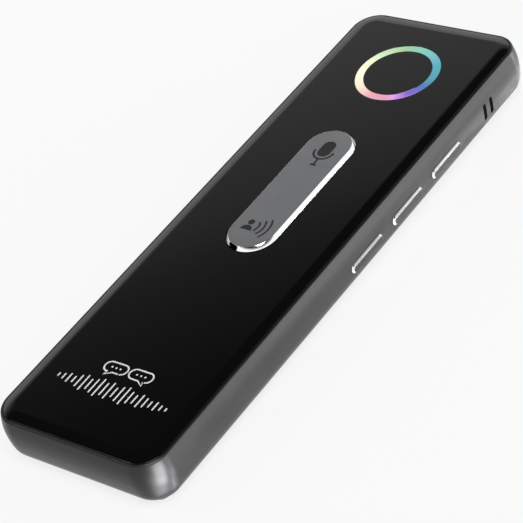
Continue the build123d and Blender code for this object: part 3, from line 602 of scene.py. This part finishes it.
# %% Glowing guide
ring_low, ring_high = box_mm("ring_light_guide")
ring_centre = (ring_low + ring_high) / 2
glow_stops = (                     # share of a full turn from the keys' side, and the hue there
    (0.00, "#469aae"), (0.09, "#4ca6ba"), (0.18, "#78bec6"), (0.25, "#86caae"),
    (0.30, "#98c898"), (0.37, "#bedeae"), (0.46, "#ecf8ce"), (0.55, "#fffbe0"),
    (0.63, "#f8ecce"), (0.68, "#f0ccc0"), (0.72, "#eaa4b2"), (0.79, "#e29cb6"),
    (0.82, "#e0a0e8"), (0.85, "#b87ee6"), (0.88, "#7c5cc4"), (0.92, "#5e64c4"),
    (0.955, "#4874ae"), (1.00, "#469aae"),
)


def glowing_guide():
    """Milky plastic whose light changes hue round the ring."""
    material, tree, shader = new_material("lit_milky_polycarbonate")
    set_inputs(
        shader, Base_Color=linear("#141416"), IOR=1.58, Roughness=0.3, Emission_Strength=1.0
    )
    place = add_node(tree, "ShaderNodeTexCoord").outputs["Object"]
    spoke = add_node(
        tree, "ShaderNodeVectorMath", {"operation": "SUBTRACT"}, in_0=place, in_1=ring_centre * MM
    )
    parts = add_node(tree, "ShaderNodeSeparateXYZ", Vector=spoke.outputs["Vector"])
    angle = add_node(
        tree, "ShaderNodeMath", {"operation": "ARCTAN2"},
        in_0=parts.outputs["Y"], in_1=parts.outputs["X"],
    )
    turns = add_node(
        tree, "ShaderNodeMath", {"operation": "DIVIDE"},
        in_0=angle.outputs["Value"], in_1=2 * math.pi,
    )
    share = add_node(
        tree, "ShaderNodeMath", {"operation": "FLOORED_MODULO"},
        in_0=turns.outputs["Value"], in_1=1.0,
    )
    hues = add_node(tree, "ShaderNodeValToRGB", Fac=share.outputs["Value"])
    stops = hues.color_ramp.elements
    stops[0].color = linear(glow_stops[0][1])
    stops[1].color = linear(glow_stops[-1][1])
    for position, colour in glow_stops[1:-1]:
        stops.new(position).color = linear(colour)
    set_inputs(shader, Emission_Color=hues.outputs["Color"])
    return material


glow = glowing_guide()
print("glow:", len(glow_stops), "hues round", [round(v, 2) for v in ring_centre])


# %% [markdown]
# ## Finishes inside
#
# The inside is seen only when the part is taken apart, and each piece still gets the finish of
# the real one. They differ mostly in colour, gloss and grain, so one table says it all.

# %% Inner finishes
inner_finishes = {
    # colour, roughness, metallic, grain mm, depth in thousandths of a mm, mottle
    "adhesive": ("#17171a", 0.50, 0.0, 0.30, 6.0, 0.10),          # acrylic foam tape
    "frame_plastic": ("#1b1b1d", 0.55, 0.0, 0.25, 8.0, 0.10),     # moulded glass-filled nylon
    "brass": ("#c9a25a", 0.28, 1.0, 0.15, 3.0, 0.08),             # turned free-cutting brass
    "screw_steel": ("#8f9196", 0.32, 1.0, 0.20, 3.0, 0.10),       # zinc-plated carbon steel
    "silicone": ("#38393b", 0.60, 0.0, 0.40, 5.0, 0.10),          # compression-moulded silicone
    "foam": ("#2c2c2e", 0.92, 0.0, 0.25, 40.0, 0.25),             # closed-cell urethane foam
    "switch_plastic": ("#3a3a3c", 0.50, 0.0, 0.20, 5.0, 0.08),    # moulded polyamide
    "chip_plastic": ("#1e1e20", 0.60, 0.0, 0.15, 7.0, 0.12),      # transfer-moulded epoxy
    "led_plastic": ("#e8dfa6", 0.18, 0.0, 0.40, 2.0, 0.06),       # clear resin over phosphor
    "shield_steel": ("#c4c6c8", 0.30, 1.0, 0.50, 3.0, 0.10),      # tinned cold-rolled sheet
    "port_steel": ("#b9babd", 0.22, 1.0, 0.30, 2.0, 0.06),        # deep-drawn, nickel plated
    "contact_gold": ("#d9b25c", 0.20, 1.0, 0.30, 2.0, 0.05),      # hard gold over nickel
    "copper_foil": ("#c07850", 0.30, 1.0, 0.60, 3.0, 0.10),       # etched rolled copper
    "battery_foil": ("#b4b6ba", 0.34, 1.0, 0.80, 14.0, 0.08),     # aluminium laminate pouch
    "connector_plastic": ("#d8d2c2", 0.45, 0.0, 0.25, 4.0, 0.06),  # natural nylon
    "wire_sleeve": ("#8c1f1c", 0.42, 0.0, 0.50, 4.0, 0.06),       # extruded silicone sleeve
}
inner = {
    slot: grained(slot, colour, roughness, metallic, grain, depth, mottle)
    for slot, (colour, roughness, metallic, grain, depth, mottle) in inner_finishes.items()
}
print("inner finishes:", ", ".join(inner))


# %% [markdown]
# ## Two patterned finishes
#
# A circuit board is glass cloth and epoxy under green solder mask. Its copper tracks show
# through as slightly raised, lighter lines that run at right angles, which a brick pattern
# gives. The loudspeaker's mesh is woven from wire, and two crossed waves give the weave.

# %% Circuit board and woven mesh
pattern_grain = 0.3      # mm
pattern_swing = 0.2      # how far the roughness strays, as a share of it


def patterned(name, colour, line_colour, pitch, roughness, metallic, depth, pattern):
    """A finish with raised lines, either the tracks of a board or the wires of a weave.

    The lines' pitch is in mm and their depth in thousandths of a mm."""
    material, tree, shader = new_material(name)
    place = add_node(tree, "ShaderNodeTexCoord").outputs["Object"]
    if pattern == "tracks":
        lines = add_node(
            tree, "ShaderNodeTexBrick", Vector=place, Scale=1 / (pitch * MM), Mortar_Size=0.06
        ).outputs["Fac"]
    else:                # the texture's waves are pi / 10 apart at a scale of 1
        warp, weft = (
            add_node(
                tree, "ShaderNodeTexWave", {"bands_direction": way},
                Vector=place, Scale=math.pi / (10 * pitch * MM),
            ).outputs["Fac"]
            for way in ("X", "Y")
        )
        lines = add_node(
            tree, "ShaderNodeMath", {"operation": "MAXIMUM"}, in_0=warp, in_1=weft
        ).outputs["Value"]
    tint = add_node(
        tree, "ShaderNodeMix", {"data_type": "RGBA"},
        in_0=lines, in_6=linear(colour), in_7=linear(line_colour),
    )
    grains = add_node(tree, "ShaderNodeTexNoise", Vector=place, Scale=1 / (pattern_grain * MM))
    gloss = add_node(
        tree, "ShaderNodeMapRange", Value=grains.outputs["Fac"],
        To_Min=roughness * (1 - pattern_swing), To_Max=roughness * (1 + pattern_swing),
    )
    bump = add_node(tree, "ShaderNodeBump", Height=lines, Strength=0.6, Distance=depth * MM * MM)
    set_inputs(
        shader, Base_Color=tint.outputs[2], Metallic=metallic,
        Roughness=gloss.outputs["Result"], Normal=bump.outputs["Normal"],
    )
    return material


inner["circuit_board"] = patterned(
    "green_solder_mask", "#123d2a", "#1f5a3e", 1.27, 0.35, 0.0, 20.0, "tracks"
)
inner["mesh_steel"] = patterned(
    "blackened_woven_steel", "#08080a", "#55565a", 0.2, 0.45, 1.0, 40.0, "weave"
)


# %% [markdown]
# ## The shell
#
# One piece of aluminium: back, walls and rim. Below the waist the walls lean in a little and
# turn under in a large round, so it sits well in the hand. Above the waist they lean in towards
# the glass. Sweeping the section of the wall round the plan gives the tub in one go. Posts are
# added inside, and then every opening is cut with a tool of its own shape.

# %% The shell's sizes and section
half_width, half_length, rim_height = box_mm("rear_shell")[1]
glass_top = box_mm("front_panel")[1].z
corner_radius = 6.6
wall = 2.3
back_thickness = 1.2
border = 6.0             # how far in the swept part reaches
side_taper = math.radians(7)
waist_low, waist_high = 6.6, 9.2
rim_lean, rim_land = 0.7, 0.5
shelf_height = 11.2
back_round, waist_round, rim_round, floor_round = 5.0, 13.0, 0.6, 3.0


def body_plan(steps=28):
    """The body's rounded outline at the waist."""
    return plate_outline(2 * half_length, 2 * half_width, corner_radius, steps)


def shell_profile():
    """Round the outside from the back to the rim, then down the inside to the floor."""
    taper = waist_low * math.tan(side_taper)
    rim_inner = rim_lean + rim_land
    outside = rounded_line(
        [
            (-border, 0), (-taper, 0), (0, waist_low), (0, waist_high),
            (-rim_lean, rim_height), (-rim_inner, rim_height),
        ],
        [back_round, waist_round, waist_round, rim_round],
        steps=9,
    )
    inside = rounded_line(
        [
            (-rim_inner, rim_height), (-rim_inner, shelf_height), (-wall, shelf_height),
            (-wall, back_thickness), (-border, back_thickness),
        ],
        [0, 0, floor_round],
    )
    return outside + inside[1:]


# %% The tub
shell_mesh = bmesh.new()
sweep_round(shell_mesh, body_plan(), shell_profile())
shell = new_object("housing_shell", shell_mesh)
uncut_shell = shell.data.copy()
print("shell:", [round(v, 2) for v in (2 * half_width, 2 * half_length, rim_height)], "mm")

# %% Where the posts stand
insert_high = box_mm("threaded_inserts")[1]
board_screw_low, board_screw_high = box_mm("board_screws")
board_low = box_mm("main_board")[0]
battery_high = box_mm("battery")[1]
post_radius = 1.9
post_gap = 0.45          # between the battery and the posts in the middle
post_bore_depth = 4.2
insert_radius, insert_bore = 1.2, 1.22
screw_head_radius, screw_bore = 1.45, 0.8
frame_post_x = insert_high.x - insert_radius
frame_post_y = insert_high.y - insert_radius
middle_post_y = battery_high.y + post_gap + post_radius
board_post_x = board_screw_high.x - screw_head_radius
board_post_ys = (board_screw_low.y + screw_head_radius, board_screw_high.y - screw_head_radius)
frame_post_ys = (-frame_post_y, middle_post_y, frame_post_y)
sides = (-1, 1)          # left and right of the middle
posts = [(side * frame_post_x, y, insert_high.z, insert_bore) for side in sides for y in frame_post_ys]
posts += [(side * board_post_x, y, board_low.z, screw_bore) for side in sides for y in board_post_ys]
print("posts:", len(posts), "each", 2 * post_radius, "mm thick")

# %% The block behind the cord slots
cord_slot_y = half_length - 18.6
cord_slot_z = 6.12
cord_slot_pitch, cord_slot_width, cord_slot_height = 2.7, 1.15, 4.3
cord_bar_depth = 1.7     # the bar of metal that the cord goes round
chamber_depth, chamber_corner = 2.3, 0.3
chamber_length = cord_slot_pitch + cord_slot_width
block_wall, block_margin, block_corner = 1.4, 3.4, 0.2
block_drop = 0.2         # how far the block ends under the posts
chamber_outer = half_width - cord_bar_depth
chamber_inner = chamber_outer - chamber_depth
block_inner = chamber_inner - block_wall
print("chamber behind the cord slots:", round(chamber_length, 2), "mm long")

# %% Add the posts and the block
additions = bmesh.new()
for x, y, top, _ in posts:
    sweep_round(additions, disc_outline(post_radius, (x, y)), [(0, back_thickness / 2), (0, top)])
block_centre = ((block_inner + chamber_outer) / 2, cord_slot_y)
block_length, block_width = chamber_length + 2 * block_margin, chamber_outer - block_inner
block = plate_outline(block_length, block_width, block_corner, 2, block_centre)
block_bottom = cord_slot_z - cord_slot_height / 2 - block_wall
sweep_round(additions, block, [(0, block_bottom), (0, insert_high.z - block_drop)])
combine(shell, additions, "UNION")
print("shell with posts and block:", len(shell.data.polygons), "faces")

# %% Where the openings are
key_names = ("volume_up", "volume_down", "power")
key_boxes = {name: box_mm(f"{name}_key") for name in key_names}
key_places = {name: (low + high) / 2 for name, (low, high) in key_boxes.items()}
side_key_length, side_key_height = 11.8, 2.2
side_key_gap = 0.12
port_low, port_high = box_mm("usb_connector")
port_size = port_high - port_low
port_place = (port_low + port_high) / 2
port_gap = 0.18
boot_low, boot_high = box_mm("mic_boots")
boot_width = 4.4
microphone_hole_radius = 0.5
microphone_x = boot_high.x - boot_width / 2
mesh_low, mesh_high = box_mm("speaker_mesh")
sound_place = (mesh_low + mesh_high) / 2
sound_hole_radius, sound_hole_pitch = 0.6, 2.4
sound_hole_columns, sound_hole_rows = 9, 3
sound_hole_chamfer = 0.1
print("side keys at", [round(place.y, 2) for place in key_places.values()], "mm along the wall")

# %% Tools for the openings
through = 1.5 * wall
overshoot = 1.0          # how far a tool stands out of what it cuts


def on_side(y, z, x=half_width):
    """The place at x in the keys' wall, with its third axis out of the wall."""
    return facing((x, y, z), Y, Z, X)


def on_far_end(x, z):
    """The place on the far wall, with its third axis out of the wall."""
    return facing((x, half_length, z), -X, Z, Y)


def cut_hole(tools, length, width, place):
    """Add a tool that goes through the wall. The place's third axis points out of the wall."""
    hole = plate_outline(length, width, min(length, width) / 2, 10)
    sweep_round(tools, hole, [(0, -through), (0, through)], place)


# %% Cut the openings
chamber_tool = bmesh.new()
chamber = plate_outline(cord_slot_height, chamber_length, chamber_corner, 3)
chamber_place = on_side(cord_slot_y, cord_slot_z, x=0)
sweep_round(chamber_tool, chamber, [(0, chamber_inner), (0, chamber_outer)], chamber_place)
combine(shell, chamber_tool)

tools = bmesh.new()
for x, y, top, bore in posts:
    hole = disc_outline(bore, (x, y), 6)
    sweep_round(tools, hole, [(0, top - post_bore_depth), (0, top + overshoot)])
for name in key_names:
    place = on_side(key_places[name].y, key_places[name].z)
    cut_hole(tools, side_key_height + 2 * side_key_gap, side_key_length + 2 * side_key_gap, place)
for side in sides:
    slot_place = on_side(cord_slot_y + side * cord_slot_pitch / 2, cord_slot_z)
    cut_hole(tools, cord_slot_height, cord_slot_width, slot_place)
    microphone_place = on_far_end(side * microphone_x, (boot_low.z + boot_high.z) / 2)
    cut_hole(tools, 2 * microphone_hole_radius, 2 * microphone_hole_radius, microphone_place)
port_height, port_width = port_size.z + 2 * port_gap, port_size.x + 2 * port_gap
cut_hole(tools, port_height, port_width, on_far_end(0, port_place.z))
sound_profile = [
    (2 * sound_hole_chamfer, -sound_hole_chamfer), (0, sound_hole_chamfer), (0, 2 * back_thickness)
]
for x in row_of(sound_hole_columns, sound_hole_pitch):
    for y in row_of(sound_hole_rows, sound_hole_pitch):
        sweep_round(tools, disc_outline(sound_hole_radius, (x, sound_place.y + y), 6), sound_profile)
combine(shell, tools)
print("openings in the walls:", len(key_names) + 2 * len(sides) + 1, "and in the back:",
      sound_hole_columns * sound_hole_rows)

# %% Deburr the openings
deburr = 0.07
edge_low, edge_high = 2, 10          # the openings' edges lie between these heights
side_from, side_to = -20, 60         # and between these places along the keys' wall,
far_reach = 14                       # or that far to both sides of the far wall's middle
edge_depth = 1                       # and no deeper in a wall than this
side_box = (
    (half_width - edge_depth, side_from, edge_low), (half_width + edge_depth, side_to, edge_high)
)
far_box = (
    (-far_reach, half_length - edge_depth, edge_low), (far_reach, half_length + edge_depth, edge_high)
)
in_side = soften_edges(shell, *side_box, deburr)
in_far = soften_edges(shell, *far_box, deburr)
print("edges rounded:", in_side, "in the side wall and", in_far, "in the far wall")

# %% Paint shade into the cord slots' chamber and finish the shell
# The chamber and the slots are painted near black inside: painted shade, so that the slots
# look deep. The wall's outer face round them keeps its finish.
slot_lip = 0.12          # how far past the chamber and the slots the painted shade may reach
bare_depth = 0.03        # the painted shade ends this far below the wall's outer face
faces_out = 0.8          # a face that points outwards more than this is the wall's own
shade_painted = [
    face
    for face in shell.data.polygons
    if chamber_inner - slot_lip < face.center.x < half_width - bare_depth
    and (face.center.x < chamber_outer + slot_lip or face.normal.x < faces_out)
    and abs(face.center.y - cord_slot_y) < chamber_length / 2 + slot_lip
    and abs(face.center.z - cord_slot_z) < cord_slot_height / 2 + slot_lip
]
# Painted shade: these faces take the near-black second finish.
for face in shade_painted:
    face.material_index = 1
print("flocked faces in the cord chamber:", len(shade_painted))
finish_piece(
    shell, "housing", [anodised, painted_shade], ["rear_shell"],
    smooth_below=50, uncut=uncut_shell,
)


# %% [markdown]
# ## The glass front
#
# The cover glass is flat in the middle and bends down to the rim over its last few
# millimetres, which is what draws the pale line along its border. Its edges are ground, so
# each opening gets a narrow flat at 45 degrees. The disc inside the light ring is cut from the
# same glass.

# %% Glass front
glass_bottom = box_mm("front_panel")[0].z
glass_gap = 0.1
glass_inset = rim_lean + rim_land + glass_gap
glass_border = 2.6       # how far in the glass is curved
glass_edge_round = 0.1
ground_edge = 0.07
crown = glass_top - rim_height
border_radius = (glass_border ** 2 + crown ** 2) / (2 * crown)


def glass_profile(steps=12):
    """Up the edge of the glass and over its curved border to the flat."""
    full = math.asin(glass_border / border_radius)
    curve = [
        (
            -glass_inset - glass_border + border_radius * math.sin(full * step / steps),
            glass_top - border_radius * (1 - math.cos(full * step / steps)),
        )
        for step in reversed(range(steps))
    ]
    corners = [(-glass_inset, glass_bottom), (-glass_inset, rim_height), curve[0]]
    return rounded_line(corners, [glass_edge_round], steps=3)[:-1] + curve


glass_mesh = bmesh.new()
sweep_round(glass_mesh, body_plan(), glass_profile())
glass_front = new_object("glass_front", glass_mesh)
print("glass:", round(glass_top - glass_bottom, 2), "mm thick, raised", round(crown, 2), "mm")

# %% Openings in the glass
talk_low, talk_high = box_mm("talk_key")
talk_place = (talk_low + talk_high) / 2
talk_flange = 1.0
talk_length = talk_high.y - talk_low.y - 2 * talk_flange
talk_width = talk_high.x - talk_low.x - 2 * talk_flange
talk_gap = 0.12


def talk_outline(margin=0.0, steps=32):
    """The talk key's pill, grown by a margin."""
    width = talk_width + 2 * margin
    return plate_outline(talk_length + 2 * margin, width, width / 2, steps, talk_place.xy)


def ring_outline(radius, steps=32):
    """A circle round the light ring's centre."""
    return disc_outline(radius, ring_centre.xy, steps)


def open_up(piece, outline):
    """Cut an opening through the glass, with its edge ground at 45 degrees."""
    tool = bmesh.new()
    slope_foot = glass_top - ground_edge
    profile = [(0, glass_bottom - overshoot), (0, slope_foot), (overshoot, slope_foot + overshoot)]
    sweep_round(tool, outline, profile)
    combine(piece, tool)


lit_inner, lit_outer = 8.03, 9.86
ring_gap = 0.05
open_up(glass_front, talk_outline(talk_gap))
open_up(glass_front, ring_outline(lit_outer + ring_gap))
finish_piece(glass_front, "housing", [glass], ["front_panel"])

# %% Glass disc
disc_mesh = bmesh.new()
disc_profile = [
    (-ground_edge, glass_bottom), (0, glass_bottom + ground_edge),
    (0, glass_top - ground_edge), (-ground_edge, glass_top),
]
sweep_round(disc_mesh, ring_outline(lit_inner - ring_gap), disc_profile)
glass_disc = new_object("glass_disc", disc_mesh)
finish_piece(glass_disc, "housing", [glass], ["ring_centre_disc"])


# %% [markdown]
# ## The light ring
#
# The guide is a shallow dish: a disc that gathers the lamps' light, a flange that is stuck
# under the glass, and a ring that comes up flush with it. Only the ring is seen.

# %% Light ring
guide_base = 10.7        # radius of the dish, which the profile starts from
guide_flange, guide_flange_thickness = 1.0, 0.4
ring_tape = 0.3          # thickness of what sticks the flange under the glass
ring_edge = 0.05
guide_flange_top = glass_bottom - ring_tape
guide_flange_bottom = guide_flange_top - guide_flange_thickness
ring_out, ring_in = lit_outer - guide_base, lit_inner - guide_base
guide_profile = [
    (0, ring_low.z), (0, guide_flange_bottom),
    (guide_flange, guide_flange_bottom), (guide_flange, guide_flange_top),
    (ring_out, guide_flange_top), (ring_out, glass_top - ring_edge), (ring_out - ring_edge, glass_top),
    (ring_in + ring_edge, glass_top), (ring_in, glass_top - ring_edge), (ring_in, guide_flange_top),
]
guide_mesh = bmesh.new()
sweep_round(guide_mesh, ring_outline(guide_base), guide_profile)
light_ring = new_object("light_ring", guide_mesh)
finish_piece(light_ring, "housing", [glow], ["ring_light_guide"])


# %% [markdown]
# ## The talk key
#
# A milled pill of aluminium. Its face is satin and its edge is cut with a diamond at a slope,
# so it flashes where it meets the light. Under the glass it has a flange that keeps it in and a
# stem for the switch. Each face carries the material slot of its finish.

# %% The talk key's sizes
talk_face_height = talk_high.z
talk_chamfer = 0.63
talk_rounds = [0.06, 0.05]   # where the slope starts and ends
talk_mirror_from = glass_top - 0.1
talk_play, talk_flange_thickness = 0.25, 0.6
talk_flange_top = glass_bottom - talk_play
talk_flange_bottom = talk_flange_top - talk_flange_thickness
talk_stem_radius = 1.6
talk_stem_seat = 0.1     # how far below the flange's top the stem ends
chamfer_slope = math.atan2(talk_face_height - glass_top, talk_chamfer)
print("talk key:", round(talk_length, 2), "x", round(talk_width, 2), "mm")
print("its edge slopes at", round(math.degrees(chamfer_slope)), "degrees")


# %% Talk key
def add_stem(piece, centre, radius, low, high, place=None):
    """Join a round stem to a key."""
    stem = bmesh.new()
    sweep_round(stem, disc_outline(radius, centre), [(0, low), (0, high)], place)
    combine(piece, stem, "UNION")


talk_edge = [
    (0, glass_bottom), (0, glass_top),
    (-talk_chamfer, talk_face_height), (-talk_width / 2, talk_face_height),
]
talk_profile = [
    (talk_flange, talk_flange_bottom), (talk_flange, talk_flange_top), (0, talk_flange_top),
    *rounded_line(talk_edge, talk_rounds, steps=2)[:-1],
]
talk_slots = [int(low[1] > talk_mirror_from) for low in talk_profile[:-1]] + [0, 0]
talk_mesh = bmesh.new()
sweep_round(talk_mesh, talk_outline(), talk_profile, slots=talk_slots)
talk_key = new_object("talk_key_cap", talk_mesh, [satin, bright_cut])
talk_stem_top = talk_flange_top - talk_stem_seat
add_stem(talk_key, talk_place.xy, talk_stem_radius, talk_low.z, talk_stem_top)
finish_piece(talk_key, "talk_button", [satin, bright_cut], ["talk_key"])


# %% [markdown]
# ## The side keys
#
# They are the same kind of pill, set on its side in the wall: louder, quieter and power. One
# loop makes all three, each where the frame has it.

# %% Side keys
side_chamfer = 0.38
side_rounds = [0.04, 0.04]
side_mirror_margin = 0.05    # how far below the slope the mirror starts
side_flange, side_neck = 0.7, 0.5
side_stem_radius, side_stem_length, side_stem_seat = 0.8, 1.0, 0.3
side_outline = plate_outline(side_key_height, side_key_length, side_key_height / 2)
for name in key_names:
    low, high = key_boxes[name]
    place = on_side(key_places[name].y, key_places[name].z, x=0)
    flange_inner = low.x + side_stem_length
    flange_outer = flange_inner + side_flange
    slope_foot = high.x - side_chamfer
    edge = [
        (0, flange_outer + side_neck), (0, slope_foot),
        (-side_chamfer, high.x), (-side_key_height / 2, high.x),
    ]
    profile = [
        (side_flange, flange_inner), (side_flange, flange_outer), (0, flange_outer),
        *rounded_line(edge, side_rounds, steps=2)[:-1],
    ]
    slots = [int(point[1] > slope_foot - side_mirror_margin) for point in profile[:-1]] + [0, 0]
    key_mesh = bmesh.new()
    sweep_round(key_mesh, side_outline, profile, place, slots)
    key = new_object(f"{name}_key_cap", key_mesh, [anodised, bright_cut])
    add_stem(key, (0, 0), side_stem_radius, low.x, flange_inner + side_stem_seat, place)
    finish_piece(key, f"{name}_button", [anodised, bright_cut], [f"{name}_key"])


# %% [markdown]
# ## The pad under the talk key
#
# A soft ring of silicone lifts the key again. It can't follow the key as a rigid piece does,
# because its foot stays on the tray. Here it stays with the housing and gets a mesh of its own.

# %% Pad
pad_low, pad_high = box_mm("talk_key_pad")
pad_width = 1.5
pad_round = 0.25
pad_mesh = bmesh.new()
pad_corners = [
    (0, pad_low.z), (0, pad_high.z), (-pad_width, pad_high.z), (-pad_width, pad_low.z)
]
pad_loop = []
for i in range(4):
    before, corner, after = pad_corners[i - 1], pad_corners[i], pad_corners[(i + 1) % 4]
    pad_loop += rounded_line([before, corner, after], [pad_round], steps=4)[1:-1]
pad_margin = (pad_high.x - pad_low.x - talk_width) / 2
sweep_round(pad_mesh, talk_outline(pad_margin), pad_loop, loop=True)
pad = new_object("talk_key_cushion", pad_mesh)
finish_piece(pad, "housing", [inner["silicone"]], ["talk_key_pad"])
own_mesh(pad)


# %% [markdown]
# ## Signs on the key and on the glass
#
# Signs are thin films on the surface: a microphone and a person who speaks are marked on the
# key with a laser, and two speech bubbles and a voice's wave are printed on the glass. Each is
# made of strokes with round ends, like a plotter's pen, and the shapes are joined.

# %% Strokes
film = 0.015             # how far a sign stands out of its surface


def stroke(points, width):
    """The outline of a pen stroke along the points, with round ends."""
    line = [Vector(point) for point in points]
    ahead = [(b - a).normalized() for a, b in zip(line, line[1:])]
    ahead = [ahead[0], *[(a + b).normalized() for a, b in zip(ahead, ahead[1:])], ahead[-1]]
    offsets = [Vector((-way.y, way.x)) * width / 2 for way in ahead]
    left = [point + offset for point, offset in zip(line, offsets)]
    right = [point - offset for point, offset in zip(line, offsets)]

    def cap(centre, start, steps=8):
        turn = [math.pi * step / steps for step in range(1, steps)]
        across = Vector((start.y, -start.x))
        return [centre + start * math.cos(t) + across * math.sin(t) for t in turn]

    return left + cap(line[-1], offsets[-1]) + right[::-1] + cap(line[0], -offsets[0])


# %% Arcs and signs
def arc(centre, radius, start, end, steps=24):
    """Points along an arc, with its angles in degrees."""
    turn = [math.radians(start + (end - start) * step / steps) for step in range(steps + 1)]
    return [(centre[0] + radius * math.cos(t), centre[1] + radius * math.sin(t)) for t in turn]


def sign(name, shapes, surface, material, body):
    """Join flat shapes into one thin film on a surface at that height."""
    piece = None
    for shape in shapes:
        mesh = bmesh.new()
        base = mesh.faces.new([mesh.verts.new((x, y, surface - film)) for x, y in shape])
        grown = bmesh.ops.extrude_face_region(mesh, geom=[base])["geom"]
        bmesh.ops.translate(
            mesh, vec=(0, 0, 2 * film), verts=[v for v in grown if isinstance(v, bmesh.types.BMVert)]
        )
        bmesh.ops.recalc_face_normals(mesh, faces=mesh.faces)
        if piece:
            combine(piece, mesh, "UNION")
        else:
            piece = new_object(name, mesh)
    return finish_piece(piece, body, [material])


# %% Signs on the talk key
mic_x, mic_top, mic_bottom = 0.3, 24.8, 19.6
mic_width = 3.2
mic_line = 0.5
mic_cup = 2.4            # radius of the cup round the microphone
mic_foot_y = 16.7
mic_foot = 0.6
cup_y = mic_bottom + mic_width / 2
mic_shapes = [
    stroke([(mic_x, mic_bottom + mic_width / 2), (mic_x, mic_top - mic_width / 2)], mic_width),
    stroke(arc((mic_x, cup_y), mic_cup, 180, 360), mic_line),
    stroke([(mic_x, cup_y - mic_cup), (mic_x, mic_foot_y)], mic_line),
    stroke([(mic_x - mic_foot, mic_foot_y), (mic_x + mic_foot, mic_foot_y)], mic_line),
]
sign("microphone_sign", mic_shapes, talk_face_height, laser_mark, "talk_button")

person_x, head_y, mouth_y, shoulder_y = -1.8, -3.75, -4.6, -6.2
head_radius, shoulder_radius = 0.78, 1.45
round_head = (0, 345)    # the last stretch of the circle is closed by the face itself
voice_reaches, voice_spread, voice_line = (2.4, 3.75, 5.1), 32, 0.45
person_shapes = [
    arc((person_x, head_y), head_radius, *round_head),
    arc((person_x, shoulder_y), shoulder_radius, 0, 180),
]
for reach in voice_reaches:
    wave = arc((person_x, mouth_y), reach, -voice_spread, voice_spread, 10)
    person_shapes.append(stroke(wave, voice_line))
sign("person_sign", person_shapes, talk_face_height, laser_mark, "talk_button")

# %% Signs on the glass
print_line = 0.36
bubble_x, bubble_y = 3.3, -50.0
bubble_reach, bubble_round = 1.6, 1.35
tail_root, tail_end, tail_tip, tail_drop = 0.1, 1.4, 1.7, 1.0
dot_count, dot_pitch, dot_line = 3, 1.1, print_line + 0.1
dot_run = 0.01           # a dot is a stroke that hardly moves


def bubble(side):
    """The line round a speech bubble on that side of the middle, where its tail points too."""
    x, y, foot = side * bubble_x, bubble_y, bubble_y - bubble_round
    line = arc((x + bubble_reach, y), bubble_round, -90, 90, 12)
    line += arc((x - bubble_reach, y), bubble_round, 90, 270, 12)
    tip = (x + side * tail_tip, foot - tail_drop)
    tail = [(x + side * tail_root, foot), tip, (x + side * tail_end, foot)]
    line += tail if side > 0 else tail[::-1]
    return line + line[:1]


bubble_shapes = [stroke(bubble(side), print_line) for side in sides]
for side in sides:
    for step in row_of(dot_count, dot_pitch):
        x = side * bubble_x + step
        bubble_shapes.append(stroke([(x, bubble_y), (x + dot_run, bubble_y)], dot_line))
sign("speech_sign", bubble_shapes, glass_top, ink, "housing")

wave_y = -55.8
wave_pitch = 1.35
wave_heights = (
    0.7, 1.3, 2.2, 1.5, 3.0, 4.0, 2.6, 3.6, 4.6, 3.2, 4.2,
    2.4, 3.7, 4.5, 2.9, 2.1, 3.2, 2.3, 1.4, 2.0, 1.1, 0.6,
)
wave_shapes = [
    stroke([(x, wave_y - height / 2), (x, wave_y + height / 2)], print_line)
    for x, height in zip(row_of(len(wave_heights), wave_pitch), wave_heights)
]
sign("voice_wave_sign", wave_shapes, glass_top, ink, "housing")


# %% [markdown]
# ## Contacts in the port
#
# The port's tongue carries a row of gold strips on each side. They are stamped to a pitch of
# half a millimetre.

# %% Port contacts
tongue_low, tongue_high = box_mm("usb_tongue")
contact_count, contact_pitch = 12, 0.5
contact_length, contact_width, contact_corner, contact_film = 2.6, 0.26, 0.05, 0.02
contact_y = tongue_high.y - 2.2
contacts_mesh = bmesh.new()
for x in row_of(contact_count, contact_pitch):
    strip = plate_outline(contact_length, contact_width, contact_corner, 2, (x, contact_y))
    for level in (tongue_high.z, tongue_low.z):
        sweep_round(contacts_mesh, strip, [(0, level - contact_film), (0, level + contact_film)])
contacts = new_object("port_contacts", contacts_mesh)
finish_piece(contacts, "housing", [inner["contact_gold"]])


# %% [markdown]
# ## The pieces inside
#
# The CAD pieces inside already have their right shapes. Each takes the finish of its material
# slot in the record, and keeps its mesh.

# %% Finishes of the CAD pieces that stay
outer_slots = {
    "anodised_shell": anodised, "black_glass": glass, "key_metal": satin, "light_guide": glow
}
slot_finishes = {**inner, **outer_slots}
dressed = 0
for entry in frame["record"]["subparts"]:
    node = frame["nodes"][entry["node"]]
    for material_slot in node.material_slots:
        material_slot.material = slot_finishes[entry["material_slot"]]
        dressed += 1
print("CAD pieces with a finish:", dressed, "of", len(frame["nodes"]))
